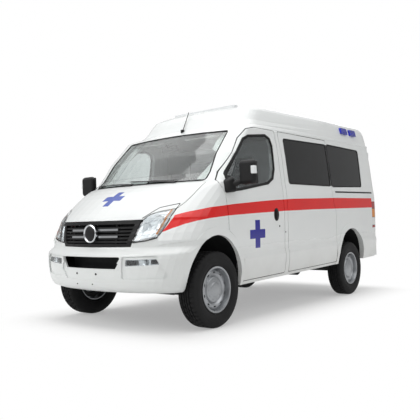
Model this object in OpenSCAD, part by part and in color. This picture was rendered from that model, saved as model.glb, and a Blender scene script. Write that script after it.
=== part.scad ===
// Ambulance van: one-box body shell with hinged doors and bonnet, steered front wheels, cab and rear interior, roof gear.
// Front faces -Y, the vehicle's left side is +X, up is +Z. Origin on the ground under the middle. Millimetres.

/* [Size] */
// Distance between the front and rear axles
wheelbase = 3100; // [2900:10:3400]
// Place of the front axle along the length
front_axle_y = -1685; // [-1800:5:-1500]
// Half of the body's greatest width
half_body = 999; // [960:1:1040]
// Nose-down stance of the unladen body on its springs, in degrees
rake = 1.9; // [0:0.1:3]
// Height of the lower edge of the body sides
sill_z = 378; // [340:1:420]
// Height of the waistline under the side windows
belt_z = 1385; // [1340:5:1430]
// Height of the gutter where the roof starts
gutter_z = 2020; // [1980:5:2060]
// Height of the roof's top
roof_z = 2340; // [2200:5:2500]

/* [Panels] */
// Thickness of the side walls and of the roof with its lining
wall = 48; // [30:1:70]
// Thickness of a hinged door
door_wall = 55; // [40:1:70]
// Thickness of the bonnet and of the front wings
panel = 26; // [16:1:40]
// Shut gap round the doors and the bonnet
gap = 7; // [6:0.5:10]
// Extra room on the inner half of a door's closing edge
relief = 8; // [5:0.5:14]
// Thickness of the window glass
glass = 6; // [4:0.5:8]
// How far the glass lies under the outer skin
glass_sink = 3; // [1:0.5:8]

/* [Wheels] */
// Outer radius of the tyre
tyre_r = 364; // [330:1:390]
// Width of the tyre
tyre_w = 215; // [185:1:235]
// How far the middle of the front tyres lies inside the body's widest point
front_inset = 132; // [110:1:170]
// How far the middle of the rear tyres lies inside the body's widest point
rear_inset = 137; // [110:1:170]
// Radius of the rim's outer lip
rim_r = 219; // [200:1:230]
// Radius of the front wheel arch beyond the tyre's
arch_room = 3; // [0:1:30]
// Radius of the rear wheel arch beyond the tyre's
rear_arch_room = 56; // [40:1:80]
// Width of the raised flare round the arches
flare = 80; // [50:1:100]
// Running clearance of the hubs and the steering pivots
run_fit = 0.05; // [0.02:0.01:0.1]
// Radius of the wheel spindle
spindle_r = 32; // [25:1:40]
// Radius of the steering pivot pin
pivot_r = 14; // [10:1:20]

/* [Hinges] */
// Inboard distance of the front doors' hinge line from the widest point
door_hinge_in = 20; // [15:1:40]
// Distance of the front doors' hinge line ahead of their foremost point
door_hinge_ahead = 40; // [30:1:90]

/* [Hidden] */
rear_axle_y = front_axle_y + wheelbase;
y0 = front_axle_y + 1665;
front_track = half_body - front_inset;
rear_track = half_body - rear_inset;
arch_r = tyre_r + arch_room;
rear_arch_r = tyre_r + rear_arch_room;

// The outlines are drawn for a half width of 999 and a wheelbase of 3100, and follow the two sizes from there
wide = half_body / 999;
wider = half_body - 999;
longer = wheelbase - 3100;
side_door_front = -328;
load_front = 800;
function back(y) = y <= side_door_front ? y : y >= load_front ? y + longer
    : side_door_front + (y - side_door_front) * (load_front - side_door_front + longer) / (load_front - side_door_front);
function back_points(list) = [for (p = list) [back(p[0]), p[1]]];
far = 1101;

floor();
chassis();
cab_frame();
side_walls();
roof();
front_wings();
bonnet();
front_bumper();
rear_bumper();
grille();
grille_trim();
front_lamps();
lamp_housings();
tail_lamps();
windscreen();
side_glass();
front_door_left();
front_door_right();
door_glass_left();
door_glass_right();
sliding_doors();
rear_door_left();
rear_door_right();
rear_glass_left();
rear_glass_right();
mirror_left();
mirror_right();
tyre_front_left();
tyre_front_right();
tyre_rear_left();
tyre_rear_right();
rim_front_left();
rim_front_right();
rim_rear_left();
rim_rear_right();
knuckle_left();
knuckle_right();
rear_axle();
engine();
exhaust();
seats();
dashboard();
steering_wheel();
wipers();
light_bar();
beacons();
antenna();
wheel_liners();

// Smooth interpolation through [position, value] rows without overshoot
function mix(a, b, k) = a + (b - a) * k;
function seg(t, z, i = 0) = (i >= len(t) - 2 || z < t[i + 1][0]) ? i : seg(t, z, i + 1);
function slope(t, i) = (t[i + 1][1] - t[i][1]) / (t[i + 1][0] - t[i][0]);
function harmonic(a, b) = a * b <= 0 ? 0 : 2 * a * b / (a + b);
function tangent(t, i) = i == 0 ? slope(t, 0) : i == len(t) - 1 ? slope(t, i - 1) : harmonic(slope(t, i - 1), slope(t, i));
function hermite(a, b, m, n, k) = (2 * k * k * k - 3 * k * k + 1) * a + (k * k * k - 2 * k * k + k) * m
    + (3 * k * k - 2 * k * k * k) * b + (k * k * k - k * k) * n;
function inside(t, z, i) = let (h = t[i + 1][0] - t[i][0])
    hermite(t[i][1], t[i + 1][1], tangent(t, i) * h, tangent(t, i + 1) * h, (z - t[i][0]) / h);
function smooth(t, z) = z <= t[0][0] ? t[0][1] : z >= t[len(t) - 1][0] ? t[len(t) - 1][1] : inside(t, z, seg(t, z));
function arc(a, b, c, k) = (1 - k) * (1 - k) * a + 2 * k * (1 - k) * b + k * k * c;

// The body's shape, level by level: half width, front line, rear line, bow of the front, and its corners
ledge_z = 664;
side_rows = [[sill_z - 18, half_body - 40], [sill_z, half_body - 36], [430, half_body - 22], [520, half_body - 8],
    [ledge_z - 62, half_body - 1], [ledge_z - 46, half_body], [ledge_z - 2, half_body - 13], [ledge_z + 8, half_body - 14],
    [860, half_body - 8], [1050, half_body - 5], [1240, half_body - 9],
    [1320, half_body - 16], [belt_z + 10, half_body - 27], [1700, half_body - 57], [gutter_z - 12, half_body - 92],
    [gutter_z - 4, half_body - 86], [gutter_z + 8, half_body - 86], [gutter_z + 16, half_body - 106],
    [roof_z - 190, half_body - 127], [roof_z - 90, half_body - 156], [roof_z - 40, half_body - 199],
    [roof_z - 15, half_body - 280], [roof_z, half_body - 480]];
front_rows = [[360, -2320], [780, -2340], [802, -2356], [926, -2346], [1000, -2346], [1055, -2338], [1080, -2318],
    [1130, -2262], [1200, -2165], [1276, -2054], [1340, -1935], [1385, -1830], [1405, -1765], [1412, -1735],
    [1700, -1437], [1985, -1120], [2010, -1045], [2035, -975], [2055, -940], [2150, -882], [2250, -812],
    [roof_z - 50, -720], [roof_z - 25, -590], [roof_z - 10, -440], [roof_z, -300]];
bow_rows = [[360, 0.00022], [720, 0.0002], [802, 0.00017], [926, 0.00024], [1055, 0.00035], [1276, 0.0003],
    [1412, 0.00024], [1985, 0.000134], [2060, 0.00018], [roof_z, 0.00026]];
corner_in_rows = [[360, 430], [926, 420], [1055, 400], [1276, 350], [1360, 260], [1412, 172], [1985, 165],
    [2060, 150], [roof_z - 40, 170], [roof_z, 240]];
corner_back_rows = [[360, 340], [926, 330], [1276, 300], [1360, 200], [1412, 120], [1985, 100], [2060, 150],
    [roof_z, 240]];
taper_rows = [[1990, 0], [2055, 62], [2150, 92], [roof_z, 100]];
taper_back = 1500;
rear_rows = [[360, 2372], [655, 2385], [belt_z, 2385], [gutter_z, 2370], [2150, 2356], [roof_z - 73, 2322],
    [roof_z - 25, 2270], [roof_z, 2150]];
rear_corner = 85;
fine_levels = [360, 378, 430, 520, 602, 618, 662, 672, 860, 926, 1000, 1040, 1060, 1085, 1120, 1165, 1220, 1276,
    1325, 1365, 1392, 1412, 1500, 1700, 1985, 2008, 2012, 2028, 2036, 2060, 2120, 2190, 2250, 2290, 2315, 2330, 2340];
coarse_levels = [330, 650, 802, 1010, 1105, 1240, 1330, 1385, 1440, 1700, 1985, 2040, 2140, 2250, 2282];

function contour(z, t, n) = let (
    w = smooth(side_rows, z + 0.7 * t) - t,
    f = smooth(front_rows, z + 0.7 * t) + t + y0,
    b = smooth(bow_rows, z) / wide / wide,
    ci = smooth(corner_in_rows, z),
    cb = smooth(corner_back_rows, z),
    tp = smooth(taper_rows, z),
    xa = w - tp - ci,
    ya = f + b * xa * xa,
    yc = ya + 2 * b * xa * ci,
    pm = [w - tp + tp * cb / taper_back, yc + cb],
    r = smooth(rear_rows, z + 0.7 * t) - t + y0 + longer,
    rc = rear_corner - 0.6 * t)
    concat(
        [for (i = [0:n]) [xa * i / n, f + b * (xa * i / n) * (xa * i / n)]],
        [for (i = [1:n + 2]) arc([xa, ya], [w - tp, yc], pm, i / (n + 2))],
        [[w, yc + taper_back], [w, r - rc]],
        [for (i = [1:n - 2]) arc([w, r - rc], [w, r], [w - rc, r], i / (n - 2))],
        [[0, r]]);
function mirrored(c) = [for (i = [len(c) - 2:-1:1]) [-c[i][0], c[i][1]]];
function ring(z, t, n) = let (c = contour(z, t, n)) concat(c, mirrored(c));

// A closed solid through the rings at the given levels
module loft(levels, t, n) {
    rings = [for (z = levels) ring(z, t, n)];
    m = len(rings[0]);
    h = len(levels);
    points = [for (i = [0:h - 1], p = rings[i]) [p[0], p[1], levels[i]]];
    sides = [for (i = [0:h - 2], j = [0:m - 1], s = [0, 1])
        let (a = i * m + j, b = i * m + (j + 1) % m, c = b + m, d = a + m) s == 0 ? [a, d, c] : [a, c, b]];
    bottom = [for (j = [0:m - 1]) j];
    top = [for (j = [m - 1:-1:0]) (h - 1) * m + j];
    polyhedron(points, concat(sides, [bottom, top]));
}

module outer() {
    loft(fine_levels, 0, 5);
}

module inner(t) {
    loft([for (z = coarse_levels) z > 2200 ? z - t + 58 : z], t, 3);
}

// The skin between the outer surface and the surface t below it
module skin(t) {
    difference() {
        outer();
        inner(t);
    }
}

module glass_skin() {
    difference() {
        loft([for (z = fine_levels) z > 2200 ? z - 50 : z], glass_sink, 5);
        loft([for (z = fine_levels) z > 2200 ? z - 60 : z - 1], glass_sink + glass, 5);
    }
}

// The body stands nose down on its springs: turned about the front axle
module body() {
    translate([0, front_axle_y, tyre_r]) rotate([rake, 0, 0]) translate([0, -front_axle_y, -tyre_r]) children();
}

module both() {
    children();
    mirror([1, 0, 0]) children();
}

// Side-view outline (y, z) drawn through the body along X
module across(x0, x1) {
    translate([x0 * wide, y0, 0]) rotate([90, 0, 90]) linear_extrude((x1 - x0) * wide) children();
}

// Front-view outline (x, z) drawn along Y
module along(ya, yb) {
    translate([0, back(yb) + y0, 0]) rotate([90, 0, 0]) linear_extrude(back(yb) - back(ya)) scale([wide, 1]) children();
}

// Plan outline (x, y) drawn upwards
module upward(za, zb) {
    translate([0, y0, za]) linear_extrude(zb - za) scale([wide, 1]) children();
}

// Outline with rounded corners, its corner circles centred on the points
module rounded(points, r) {
    polygon(points);
    n = len(points);
    for (i = [0:n - 1]) hull() {
        translate(points[i]) circle(r, $fn = 16);
        translate(points[(i + 1) % n]) circle(r, $fn = 16);
    }
}

module box(a, b) {
    low = [a[0] * wide, back(a[1] - y0) + y0, a[2]];
    high = [b[0] * wide, back(b[1] - y0) + y0, b[2]];
    translate(low) cube(high - low);
}

// Outlines of the openings in side view
door_front = -1556;
door_rear = -415;
slide_front = side_door_front;
slide_rear = 935;
door_low = 398;
door_top = gutter_z - 24;
split_z = door_top + gap;
bonnet_rear_z = 1393;
arch_y = -1677;
arch_z = tyre_r + 150;
rear_arch_y = 1430 + longer;
rear_arch_z = tyre_r + 32;
// Close fit of panes, lamps and trim in their openings
seat = 0.3;

module front_door_shape(g) {
    difference() {
        rounded([[-1452 - g, 700], [-1454 - g, 909], [-1466 - g, 1113], [-1495 - g, 1290], [-1534 - g, 1376 + g / 2],
            [-1330 - g * 0.7, 1594 + g * 0.7], [-1100 - g * 0.7, 1846 + g * 0.7], [-970 - g / 2, door_top - 48 + g],
            [-840, door_top - 22 + g], [door_rear - 42 + g, door_top - 22 + g], [door_rear - 22 + g, 1800], [door_rear - 22 + g, 1300],
            [door_rear - 22 + g, door_low + 22 - g], [-1240 - g, door_low + 22 - g]], 22);
        translate([arch_y, arch_z]) circle(arch_r + flare - 2 - g, $fn = 80);
        translate([-1700, 0]) square([444 + 12 - g, arch_z]);
    }
}

module door_window_shape(g) {
    rounded([[-1472 - g, 1308 - g], [-1424 - g, 1462], [-1244 - g * 0.7, 1668 + g * 0.7], [-1068 - g * 0.7, 1846 + g * 0.7],
        [-980, 1884 + g], [-640, 1920 + g], [-560 + g * 0.6, 1888 + g * 0.6], [-532 + g, 1815], [-548 + g, 1560],
        [-598 + g, 1455 - g * 0.5], [-705, 1402 - g], [-1245, 1328 - g]], 16);
}

module slide_door_shape(g) {
    rounded(back_points([[slide_front + 22 - g, door_low + 22 - g], [slide_front + 22 - g, 1700], [slide_front - 2 - g, door_top - 22 + g],
        [slide_rear - 89 + g, door_top - 22 + g], [slide_rear - 89 + g, 1300], [slide_rear - 77 + g, 1180],
        [slide_rear - 14 + g, 1046], [slide_rear - 14 + g, door_low + 22 - g]]), 22);
}

module slide_window_shape(g) {
    rounded(back_points([[-206 - g, 1432 - g], [-218 - g, 1893 + g], [822 + g, 1909 + g], [822 + g, 1424 - g]]), 34);
}

module rear_window_shape(g) {
    rounded(back_points([[926 - g, 1424 - g], [926 - g, 1909 + g], [1878 + g, 1896 + g], [1846 + g, 1440 - g]]), 42);
}

module rear_door_shape(g) {
    rounded([[34 + gap / 2 - g, rear_door_low + 30 - g], [34 + gap / 2 - g, 2090 + g], [740 + g, 2090 + g], [800 + g, 1900],
        [840 + g, 1350], [840 + g, 620], [810 + g, rear_door_low + 30 - g]], 30);
}

module rear_glass_shape(g) {
    rounded([[160 - g, 1450 - g], [160 - g, 1600], [160 - g, 1750], [160 - g, 1900 + g], [420, 1900 + g], [690 + g, 1900 + g],
        [712 + g, 1680], [735 + g, 1450 - g], [450, 1450 - g]], 45);
}

// Sides and front of the bonnet in plan, seen along its opening path; heights are taken out of the outline
bonnet_slope = 0.55;
bonnet_ref_z = 1053;
module bonnet_shape(g) {
    rounded([[-100, -2500], [547 + g, -2500], [547 + g, -2237], [595 + g, -2140], [666 + g, -2067], [733 + g, -2007],
        [786 + g, -1954], [813 + g, -1842], [827 + g, -1712], [832 + g, -1587], [834 + g, -1300], [-100, -1300]], 8);
}

// Rear edge of the bonnet in plan, parallel to the foot of the screen
module bonnet_rear_shape(g) {
    polygon(concat([for (x = [0:70:980]) [x, -1808 + g + 0.00024 * x * x]], [[980, -3000], [0, -3000]]));
}

module windscreen_shape(g) {
    both() rounded([[0, 1436 - g], [400, 1438 - g], [766 + g, 1440 - g], [708 + g, 1936 + g], [400, 1944 + g],
        [0, 1948 + g]], 26);
}

module headlamp_shape(g) {
    rounded([[500 - g, 852 - g], [566 - g, 1062 + g], [655, 1150 + g], [786 + g, 1180 + g], [786 + g, 1110],
        [776 + g, 1030], [750 + g, 940], [724 + g, 890 - g], [629, 868 - g]], 9);
}

module fog_shape(g) {
    rounded([[466 - g, 643 - g], [468 - g, 686 + g], [752 + g, 692 + g], [772 + g, 658 - g]], 9);
}

module fog_pocket_shape() {
    rounded([[446, 540], [446, 700], [758, 712], [830, 560], [822, 546]], 20);
}

module plate_recess_shape() {
    both() rounded([[-10, 524], [322, 524], [390, 600], [384, 640], [-10, 640]], 20);
}

module grille_shape(g) {
    both() rounded([[-10, 808 - g], [471, 812 - g], [546, 1040 + g], [-10, 1040 + g]], 6);
}

module grille_hole_shape() {
    both() rounded([[-10, 838], [430, 840], [490, 1010], [-10, 1010]], 6);
}

module intake_shape(g) {
    both() rounded([[-10, 622], [338, 622], [392, 704], [-10, 704]], 14);
}

module tail_lamp_shape(g) {
    rounded([[906 - g, 806 - g], [900 - g, 1174 + g], [1060, 1174 + g], [1060, 806 - g]], 12);
}

// Upper edge of the bumper seen from the front: under the grille and lamps, then back along the wing
module bumper_cover_shape(g) {
    both() polygon([[-10, 0], [1200, 0], [1200, 848 + g], [997, 848 + g], [949, 844 + g], [873, 836 + g], [746 + g, 818 + g],
        [742 + g, 900 + g], [493, 900 + g], [476, 850 + g],
        [476, 808 + g], [-10, 806 + g]]);
}

module arches(g) {
    across(-far, far) {
        translate([arch_y, arch_z]) circle(arch_r + g, $fn = 80);
        translate([arch_y + 12, arch_z - 44]) circle(arch_r + g + 6, $fn = 80);
        translate([arch_y - arch_r - g, 0]) square([2 * (arch_r + g) + 18, arch_z - 44]);
        translate([rear_arch_y, rear_arch_z]) circle(rear_arch_r + g, $fn = 88);
        translate([rear_arch_y - rear_arch_r - g, 0]) square([2 * (rear_arch_r + g), rear_arch_z]);
    }
}

// Raised flares round the arches, proud of the skin
module flares(t) {
    intersection() {
        difference() {
            loft([360, 500, 640, 760, 848, 860, 926, 1000, 1040], -7, 5);
            inner(t);
        }
        across(600, far) {
            difference() {
                translate([arch_y, arch_z]) circle(arch_r + flare, $fn = 80);
                translate([-3000, 0]) square([3000 + arch_y, 848]);
            }
            translate([rear_arch_y, rear_arch_z]) circle(rear_arch_r + flare + 4, $fn = 88);
        }
    }
}

module bonnet_block(g) {
    intersection() {
        translate([0, bonnet_slope * bonnet_ref_z, 0]) multmatrix([[1, 0, 0, 0], [0, 1, -bonnet_slope, 0], [0, 0, 1, 0]])
            upward(1000, 1560) both() bonnet_shape(g);
        upward(1052 - g, 1560) both() bonnet_rear_shape(g);
    }
}

// Cab frame: screen surround, cowl and front pillars
module cab_frame() {
    color("white") body() difference() {
        intersection() {
            skin(wall);
            box([-far, -1900 + y0, bonnet_rear_z - 6], [far, -780 + y0, split_z]);
        }
        bonnet_block(gap);
        along(-2000, -700) windscreen_shape(seat);
        across(-far, far) front_door_shape(gap);
        box([-700, -1400 + y0, 1300], [700, -300 + y0, door_top - 30]);
    }
}

module side_body() {
    difference() {
        union() {
            intersection() {
                skin(wall);
                box([200, -1234 + y0, sill_z - 18], [far, 2600 + y0, split_z]);
            }
            intersection() {
                flares(wall);
                box([200, 900 + y0, sill_z - 18], [far, 2600 + y0, split_z]);
            }
        }
        box([0, -1600 + y0, 460], [far, -600 + y0, 5000]);
        across(100, far) front_door_shape(gap);
        across(100, far) slide_door_shape(gap);
        across(100, far) rear_window_shape(seat);
        along(2200, 2600) rear_door_shape(gap);
        box([0, 2200 + y0, 0], [760, 2600 + y0, rear_door_low + 30]);
        arches(0);
        tail_lamp_block(seat);
    }
}

module side_walls() {
    color("white") body() both() side_body();
}

module roof() {
    color("white") body() difference() {
        intersection() {
            skin(wall);
            box([-far, -1400 + y0, split_z], [far, 2700 + y0, roof_z + 20]);
        }
        both() along(2200, 2600) rear_door_shape(gap);
    }
}

module wing_body() {
    difference() {
        union() {
            intersection() {
                skin(panel);
                box([480, -2500 + y0, sill_z - 18], [far, -1235 + y0, bonnet_rear_z - 6]);
            }
            intersection() {
                flares(panel);
                box([480, -2500 + y0, sill_z - 18], [far, -1235 + y0, bonnet_rear_z - 6]);
            }
        }
        bonnet_block(gap);
        arches(0);
        along(-2700, -1600) bumper_cover_shape(seat);
        across(100, far) front_door_shape(gap);
        box([0, -1474 + y0, 960], [far, 0, 2000]);
        headlamp_block(seat);
        along(-2600, -2000) translate([-10, 0]) square([560, 2000]);
        along(-2600, -1200) translate([-10, 0]) square([650, 1300]);
    }
}

module front_wings() {
    color("white") body() both() wing_body();
}

module bonnet() {
    color("white") body() intersection() {
        skin(panel);
        bonnet_block(0);
    }
}

module headlamp_block(g) {
    along(-2600, -1900) headlamp_shape(g);
}

// Lenses with their rims: the space behind them is open for the reflectors
lens = 4;
module lamp_lens_body() {
    difference() {
        intersection() {
            difference() {
                outer();
                inner(70);
            }
            headlamp_block(0);
        }
        intersection() {
            inner(lens);
            headlamp_block(-lens);
        }
        bonnet_block(gap + 2);
    }
    intersection() {
        difference() {
            bumper_solid(fog_depth, fog_levels);
            bumper_solid(fog_depth + lens, fog_levels);
        }
        along(-2600, -2000) fog_shape(0);
    }
}

module front_lamps() {
    color("silver") body() both() lamp_lens_body();
}

// Reflector housings behind the lenses
module lamp_housing_body() {
    difference() {
        intersection() {
            difference() {
                inner(lens + 48);
                inner(lens + 62);
            }
            headlamp_block(-lens - seat);
        }
        bonnet_block(gap + 2);
    }
    intersection() {
        difference() {
            bumper_solid(fog_depth + lens + seat, fog_levels);
            intersection() {
                bumper_solid(fog_depth, fog_levels);
                along(-2600, -2000) fog_shape(-4);
                difference() {
                    bumper_solid(fog_depth, fog_levels);
                    bumper_solid(fog_depth + 40, fog_levels);
                }
            }
            bumper_solid(fog_depth + 50, fog_levels);
        }
        along(-2600, -2000) fog_shape(0);
    }
}

module lamp_housings() {
    color("gray") body() both() lamp_housing_body();
}

module grille() {
    color("dimgray") body() {
        difference() {
            intersection() {
                skin(40);
                along(-2600, -2100) grille_shape(0);
            }
            along(-2600, -2100) grille_hole_shape();
            both() headlamp_block(seat);
        }
        intersection() {
            difference() {
                inner(6);
                inner(38);
            }
            along(-2600, -2100) {
                for (z = grille_bars) translate([-500, z - 9]) square([1000, 18]);
                both() translate([300, 820]) square([8, 210]);
            }
            along(-2600, -2100) grille_shape(-4);
        }
    }
}
grille_bars = [854, 886, 918, 950, 982];

module grille_trim() {
    color("silver") body() {
        intersection() {
            difference() {
                loft([780, 860, 926, 1000, 1060], -4, 5);
                inner(6 - seat);
            }
            along(-2600, -2100) {
                for (z = [902, 966]) both() translate([92, z - 10]) square([236, 20]);
                translate([0, 934]) circle(80, $fn = 64);
            }
        }
        translate([0, -2372 + y0, 934]) rotate([90, 0, 0]) rotate_extrude($fn = 64)
            polygon([[0, -24], [86, -24], [86, 2], [80, 8], [72, 8], [68, 3], [0, 10]]);
    }
}

// Front bumper: its own rings, flush with the body along the joint and proud of it lower down
fog_depth = 22;
fog_levels = [600, 650, 700, 740];
bumper_rows = [[sill_z + 5, -2318], [395, -2352], [415, -2392], [440, -2412], [500, -2428], [607, -2430], [700, -2424],
    [740, -2412], [765, -2388], [785, -2362], [800, -2352], [900, -2346]];
bumper_half = [[sill_z + 5, 866], [395, 878], [459, 901], [539, 931], [591, 946], [651, 962], [702, 976], [752, 985],
    [800, 990], [900, 992]];
bumper_in_rows = [[383, 430], [760, 420], [900, 424]];
bumper_out_rows = [[383, 230], [740, 240], [800, 300], [900, 334]];
bumper_levels = [sill_z + 5, 395, 405, 415, 440, 466, 500, 540, 607, 651, 700, 726, 740, 752, 765, 775, 785, 800, 850, 900];
function bumper_ring(z, t) = let (
    w = smooth(bumper_half, z) + wider - t,
    f = smooth(bumper_rows, z) + t + y0,
    b = 0.00021 / wide / wide,
    ci = smooth(bumper_in_rows, z),
    xa = w - ci,
    ya = f + b * xa * xa,
    yc = ya + 2 * b * xa * ci,
    back = arch_y - arch_r + 420 + y0,
    c = concat(
        [for (i = [0:6]) [xa * i / 6, f + b * (xa * i / 6) * (xa * i / 6)]],
        [for (i = [1:8]) arc([xa, ya], [w, yc], [w, yc + smooth(bumper_out_rows, z)], i / 8)],
        [[w, back], [0, back]])) concat(c, mirrored(c));

module bumper_solid(t, levels) {
    m = len(bumper_ring(500, 0));
    h = len(levels);
    points = [for (z = levels, p = bumper_ring(z, t)) [p[0], p[1], z]];
    sides = [for (i = [0:h - 2], j = [0:m - 1], s = [0, 1])
        let (a = i * m + j, b = i * m + (j + 1) % m, c = b + m, d = a + m) s == 0 ? [a, d, c] : [a, c, b]];
    bottom = [for (j = [0:m - 1]) j];
    top = [for (j = [m - 1:-1:0]) (h - 1) * m + j];
    polyhedron(points, concat(sides, [bottom, top]));
}

bumper_wall = 30;
bumper_pocket = 16;
module front_bumper() {
    color("white") body() difference() {
        intersection() {
            bumper_solid(0, bumper_levels);
            along(-2700, -1800) bumper_cover_shape(0);
        }
        bumper_solid(bumper_wall, [370, 440, 500, 700, 765, 800, 910]);
        difference() {
            union() {
                both() along(-2600, -2000) fog_pocket_shape();
                along(-2600, -2200) plate_recess_shape();
            }
            bumper_solid(bumper_pocket, [380, 440, 500, 607, 700, 740, 765, 910]);
        }
        arches(0);
        along(-2600, -2200) intake_shape(0);
        both() along(-2600, -2000) fog_shape(seat);
        both() headlamp_block(seat);
        along(-2700, -2000) grille_shape(seat);
        box([-far, arch_y + 20 + y0, 0], [far, 3000, 3000]);
    }
}

// The rear bumper's top lies under the swinging doors
bumper_low = 374;
rear_door_low = 530;
bumper_top = rear_door_low - gap;
module rear_bumper() {
    color("white") body() difference() {
        translate([0, y0 + longer, 0]) hull() both() {
            translate([half_body - 129, 2330, bumper_low]) cylinder(h = bumper_top - bumper_low, r = 110, $fn = 48);
            translate([half_body - 59, 2150, bumper_low]) cylinder(h = bumper_top - bumper_low, r = 20, $fn = 24);
            translate([half_body - 499, 2380, bumper_low]) cylinder(h = bumper_top - bumper_low, r = 90, $fn = 48);
        }
        loft([for (z = fine_levels) if (z < 1000) z], -seat, 5);
        box([-far, -3000, 300], [far, 2100 + y0, 900]);
        box([-800, 2000 + y0, 300], [800, 2385 + y0, 900]);
    }
}

module tail_lamp_block(g) {
    along(2200, 2600) tail_lamp_shape(g);
}

module tail_lamps() {
    color("red") body() intersection() {
        difference() {
            outer();
            inner(wall);
        }
        both() tail_lamp_block(0);
    }
}

module windscreen() {
    color([0.3, 0.34, 0.36, 0.6]) body() intersection() {
        glass_skin();
        along(-2000, -700) windscreen_shape(0);
    }
}

module side_glass() {
    color([0.1, 0.11, 0.12, 0.7]) body() intersection() {
        glass_skin();
        both() {
            across(600, far) rear_window_shape(0);
            across(600, far) slide_window_shape(0);
        }
    }
}

module front_door_body() {
    difference() {
        intersection() {
            skin(door_wall);
            across(600, far) front_door_shape(0);
        }
        across(600, far) door_window_shape(seat);
        intersection() {
            inner(20);
            difference() {
                across(600, far) front_door_shape(1);
                across(600, far) front_door_shape(-relief);
            }
        }
    }
}

module front_door_left() {
    color("white") body() front_door_body();
}

module front_door_right() {
    color("white") body() mirror([1, 0, 0]) front_door_body();
}

module door_glass_body() {
    intersection() {
        glass_skin();
        across(600, far) door_window_shape(0);
    }
}

module door_glass_left() {
    color([0.2, 0.24, 0.24, 0.6]) body() door_glass_body();
}

module door_glass_right() {
    color([0.2, 0.24, 0.24, 0.6]) body() mirror([1, 0, 0]) door_glass_body();
}

module sliding_door_body() {
    difference() {
        intersection() {
            skin(wall);
            across(600, far) slide_door_shape(0);
        }
        across(600, far) slide_window_shape(seat);
    }
}

module sliding_doors() {
    color("white") body() both() sliding_door_body();
}

module rear_door_body() {
    difference() {
        intersection() {
            skin(door_wall);
            along(2150, 2600) rear_door_shape(0);
        }
        along(2150, 2600) rear_glass_shape(seat);
        intersection() {
            inner(20);
            difference() {
                along(2150, 2600) rear_door_shape(1);
                along(2150, 2600) rear_door_shape(-relief);
            }
        }
    }
}

module rear_door_left() {
    color("white") body() rear_door_body();
}

module rear_door_right() {
    color("white") body() mirror([1, 0, 0]) rear_door_body();
}

module rear_glass_body() {
    intersection() {
        glass_skin();
        along(2150, 2600) rear_glass_shape(0);
    }
}

module rear_glass_left() {
    color([0.1, 0.11, 0.12, 0.7]) body() rear_glass_body();
}

module rear_glass_right() {
    color([0.1, 0.11, 0.12, 0.7]) body() mirror([1, 0, 0]) rear_glass_body();
}

// Door mirror on its foot at the window's front corner
module mirror_body() {
    translate([wider, y0, 0]) {
        hull() {
            for (z = [1392, 1552]) translate([1118, -1384, z]) sphere(40, $fn = 16);
            for (z = [1398, 1546]) translate([1228, -1392, z]) sphere(44, $fn = 16);
        }
        hull() {
            translate([far, -1384, 1392]) sphere(26, $fn = 14);
            translate([1010, -1420, 1356]) sphere(30, $fn = 14);
        }
        hull() {
            translate([1004, -1420, 1356]) sphere(34, $fn = 14);
            translate([976, -1452, 1316]) sphere(30, $fn = 14);
            translate([972, -1352, 1330]) sphere(22, $fn = 14);
            translate([968, -1420, 1440]) sphere(18, $fn = 14);
        }
    }
}

module mirror_left() {
    color("black") body() difference() {
        mirror_body();
        outer();
    }
}

module mirror_right() {
    color("black") body() mirror([1, 0, 0]) difference() {
        mirror_body();
        outer();
    }
}

// Wheels, drawn about their own axis and turned onto the axle
module wheel_place(x, y) {
    translate([x, y, tyre_r]) rotate([0, 90, 0]) children();
}

module tyre() {
    half = tyre_w / 2;
    bead = rim_r - 12.7;
    rotate_extrude($fn = 120) polygon([[bead, -78], [bead, 77.7], [rim_r + 0.3, 84], [rim_r + 4, half - 15.5], [rim_r + 31, half - 5.5],
        [tyre_r - 79, half], [tyre_r - 46, half - 2.5], [tyre_r - 22, half - 10.5], [tyre_r - 10, half - 18.5],
        [tyre_r - 3, half - 29.5], [tyre_r, half - 47.5], [tyre_r, 47.5 - half], [tyre_r - 3, 29.5 - half],
        [tyre_r - 10, 18.5 - half], [tyre_r - 22, 10.5 - half], [tyre_r - 46, 2.5 - half], [tyre_r - 79, -half],
        [rim_r + 31, 5.5 - half], [rim_r + 4, 17.5 - half], [bead + 5.7, -84]]);
}

// Steel rim: barrel with its lip, dished disc with slots round it, domed cap and the hub bore
hub_in = 34;
module rim_profile() {
    rotate_extrude($fn = 96) polygon([[rim_r - 22, -84], [rim_r - 13, -84], [rim_r - 13, -78], [rim_r - 13, 78],
        [rim_r, 84], [rim_r, 92], [rim_r - 16, 90], [rim_r - 20, 74], [rim_r - 25, 44], [rim_r - 39, 40],
        [rim_r - 41, 30], [rim_r - 27, 30], [rim_r - 22, 20]]);
    rotate_extrude($fn = 96) polygon([[spindle_r + run_fit, hub_in], [spindle_r + run_fit, 47], [0, 47], [0, 74],
        [40, 73], [66, 68], [80, 60], [84, 46], [92, 44], [96, 54], [112, 56], [121, 54], [126, 46], [rim_r - 71, 62], [rim_r - 47, 58],
        [rim_r - 25, 44], [rim_r - 25, 32], [rim_r - 49, 46], [rim_r - 71, 50], [124, hub_in]]);
}

module wheel_slots() {
    for (a = [0:36:324]) rotate([0, 0, a]) {
        translate([rim_r - 64, -9, 0]) cube([14, 18, 120]);
        translate([rim_r - 57, -9, 0]) cylinder(h = 120, r = 7, $fn = 24);
        translate([rim_r - 57, 9, 0]) cylinder(h = 120, r = 7, $fn = 24);
    }
}

module steel_rim() {
    difference() {
        rim_profile();
        wheel_slots();
    }
}

module tyre_front_left() {
    color("black") wheel_place(front_track, front_axle_y) tyre();
}

module tyre_front_right() {
    color("black") wheel_place(-front_track, front_axle_y) rotate([0, 180, 0]) tyre();
}

module tyre_rear_left() {
    color("black") wheel_place(rear_track, rear_axle_y) tyre();
}

module tyre_rear_right() {
    color("black") wheel_place(-rear_track, rear_axle_y) rotate([0, 180, 0]) tyre();
}

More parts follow.
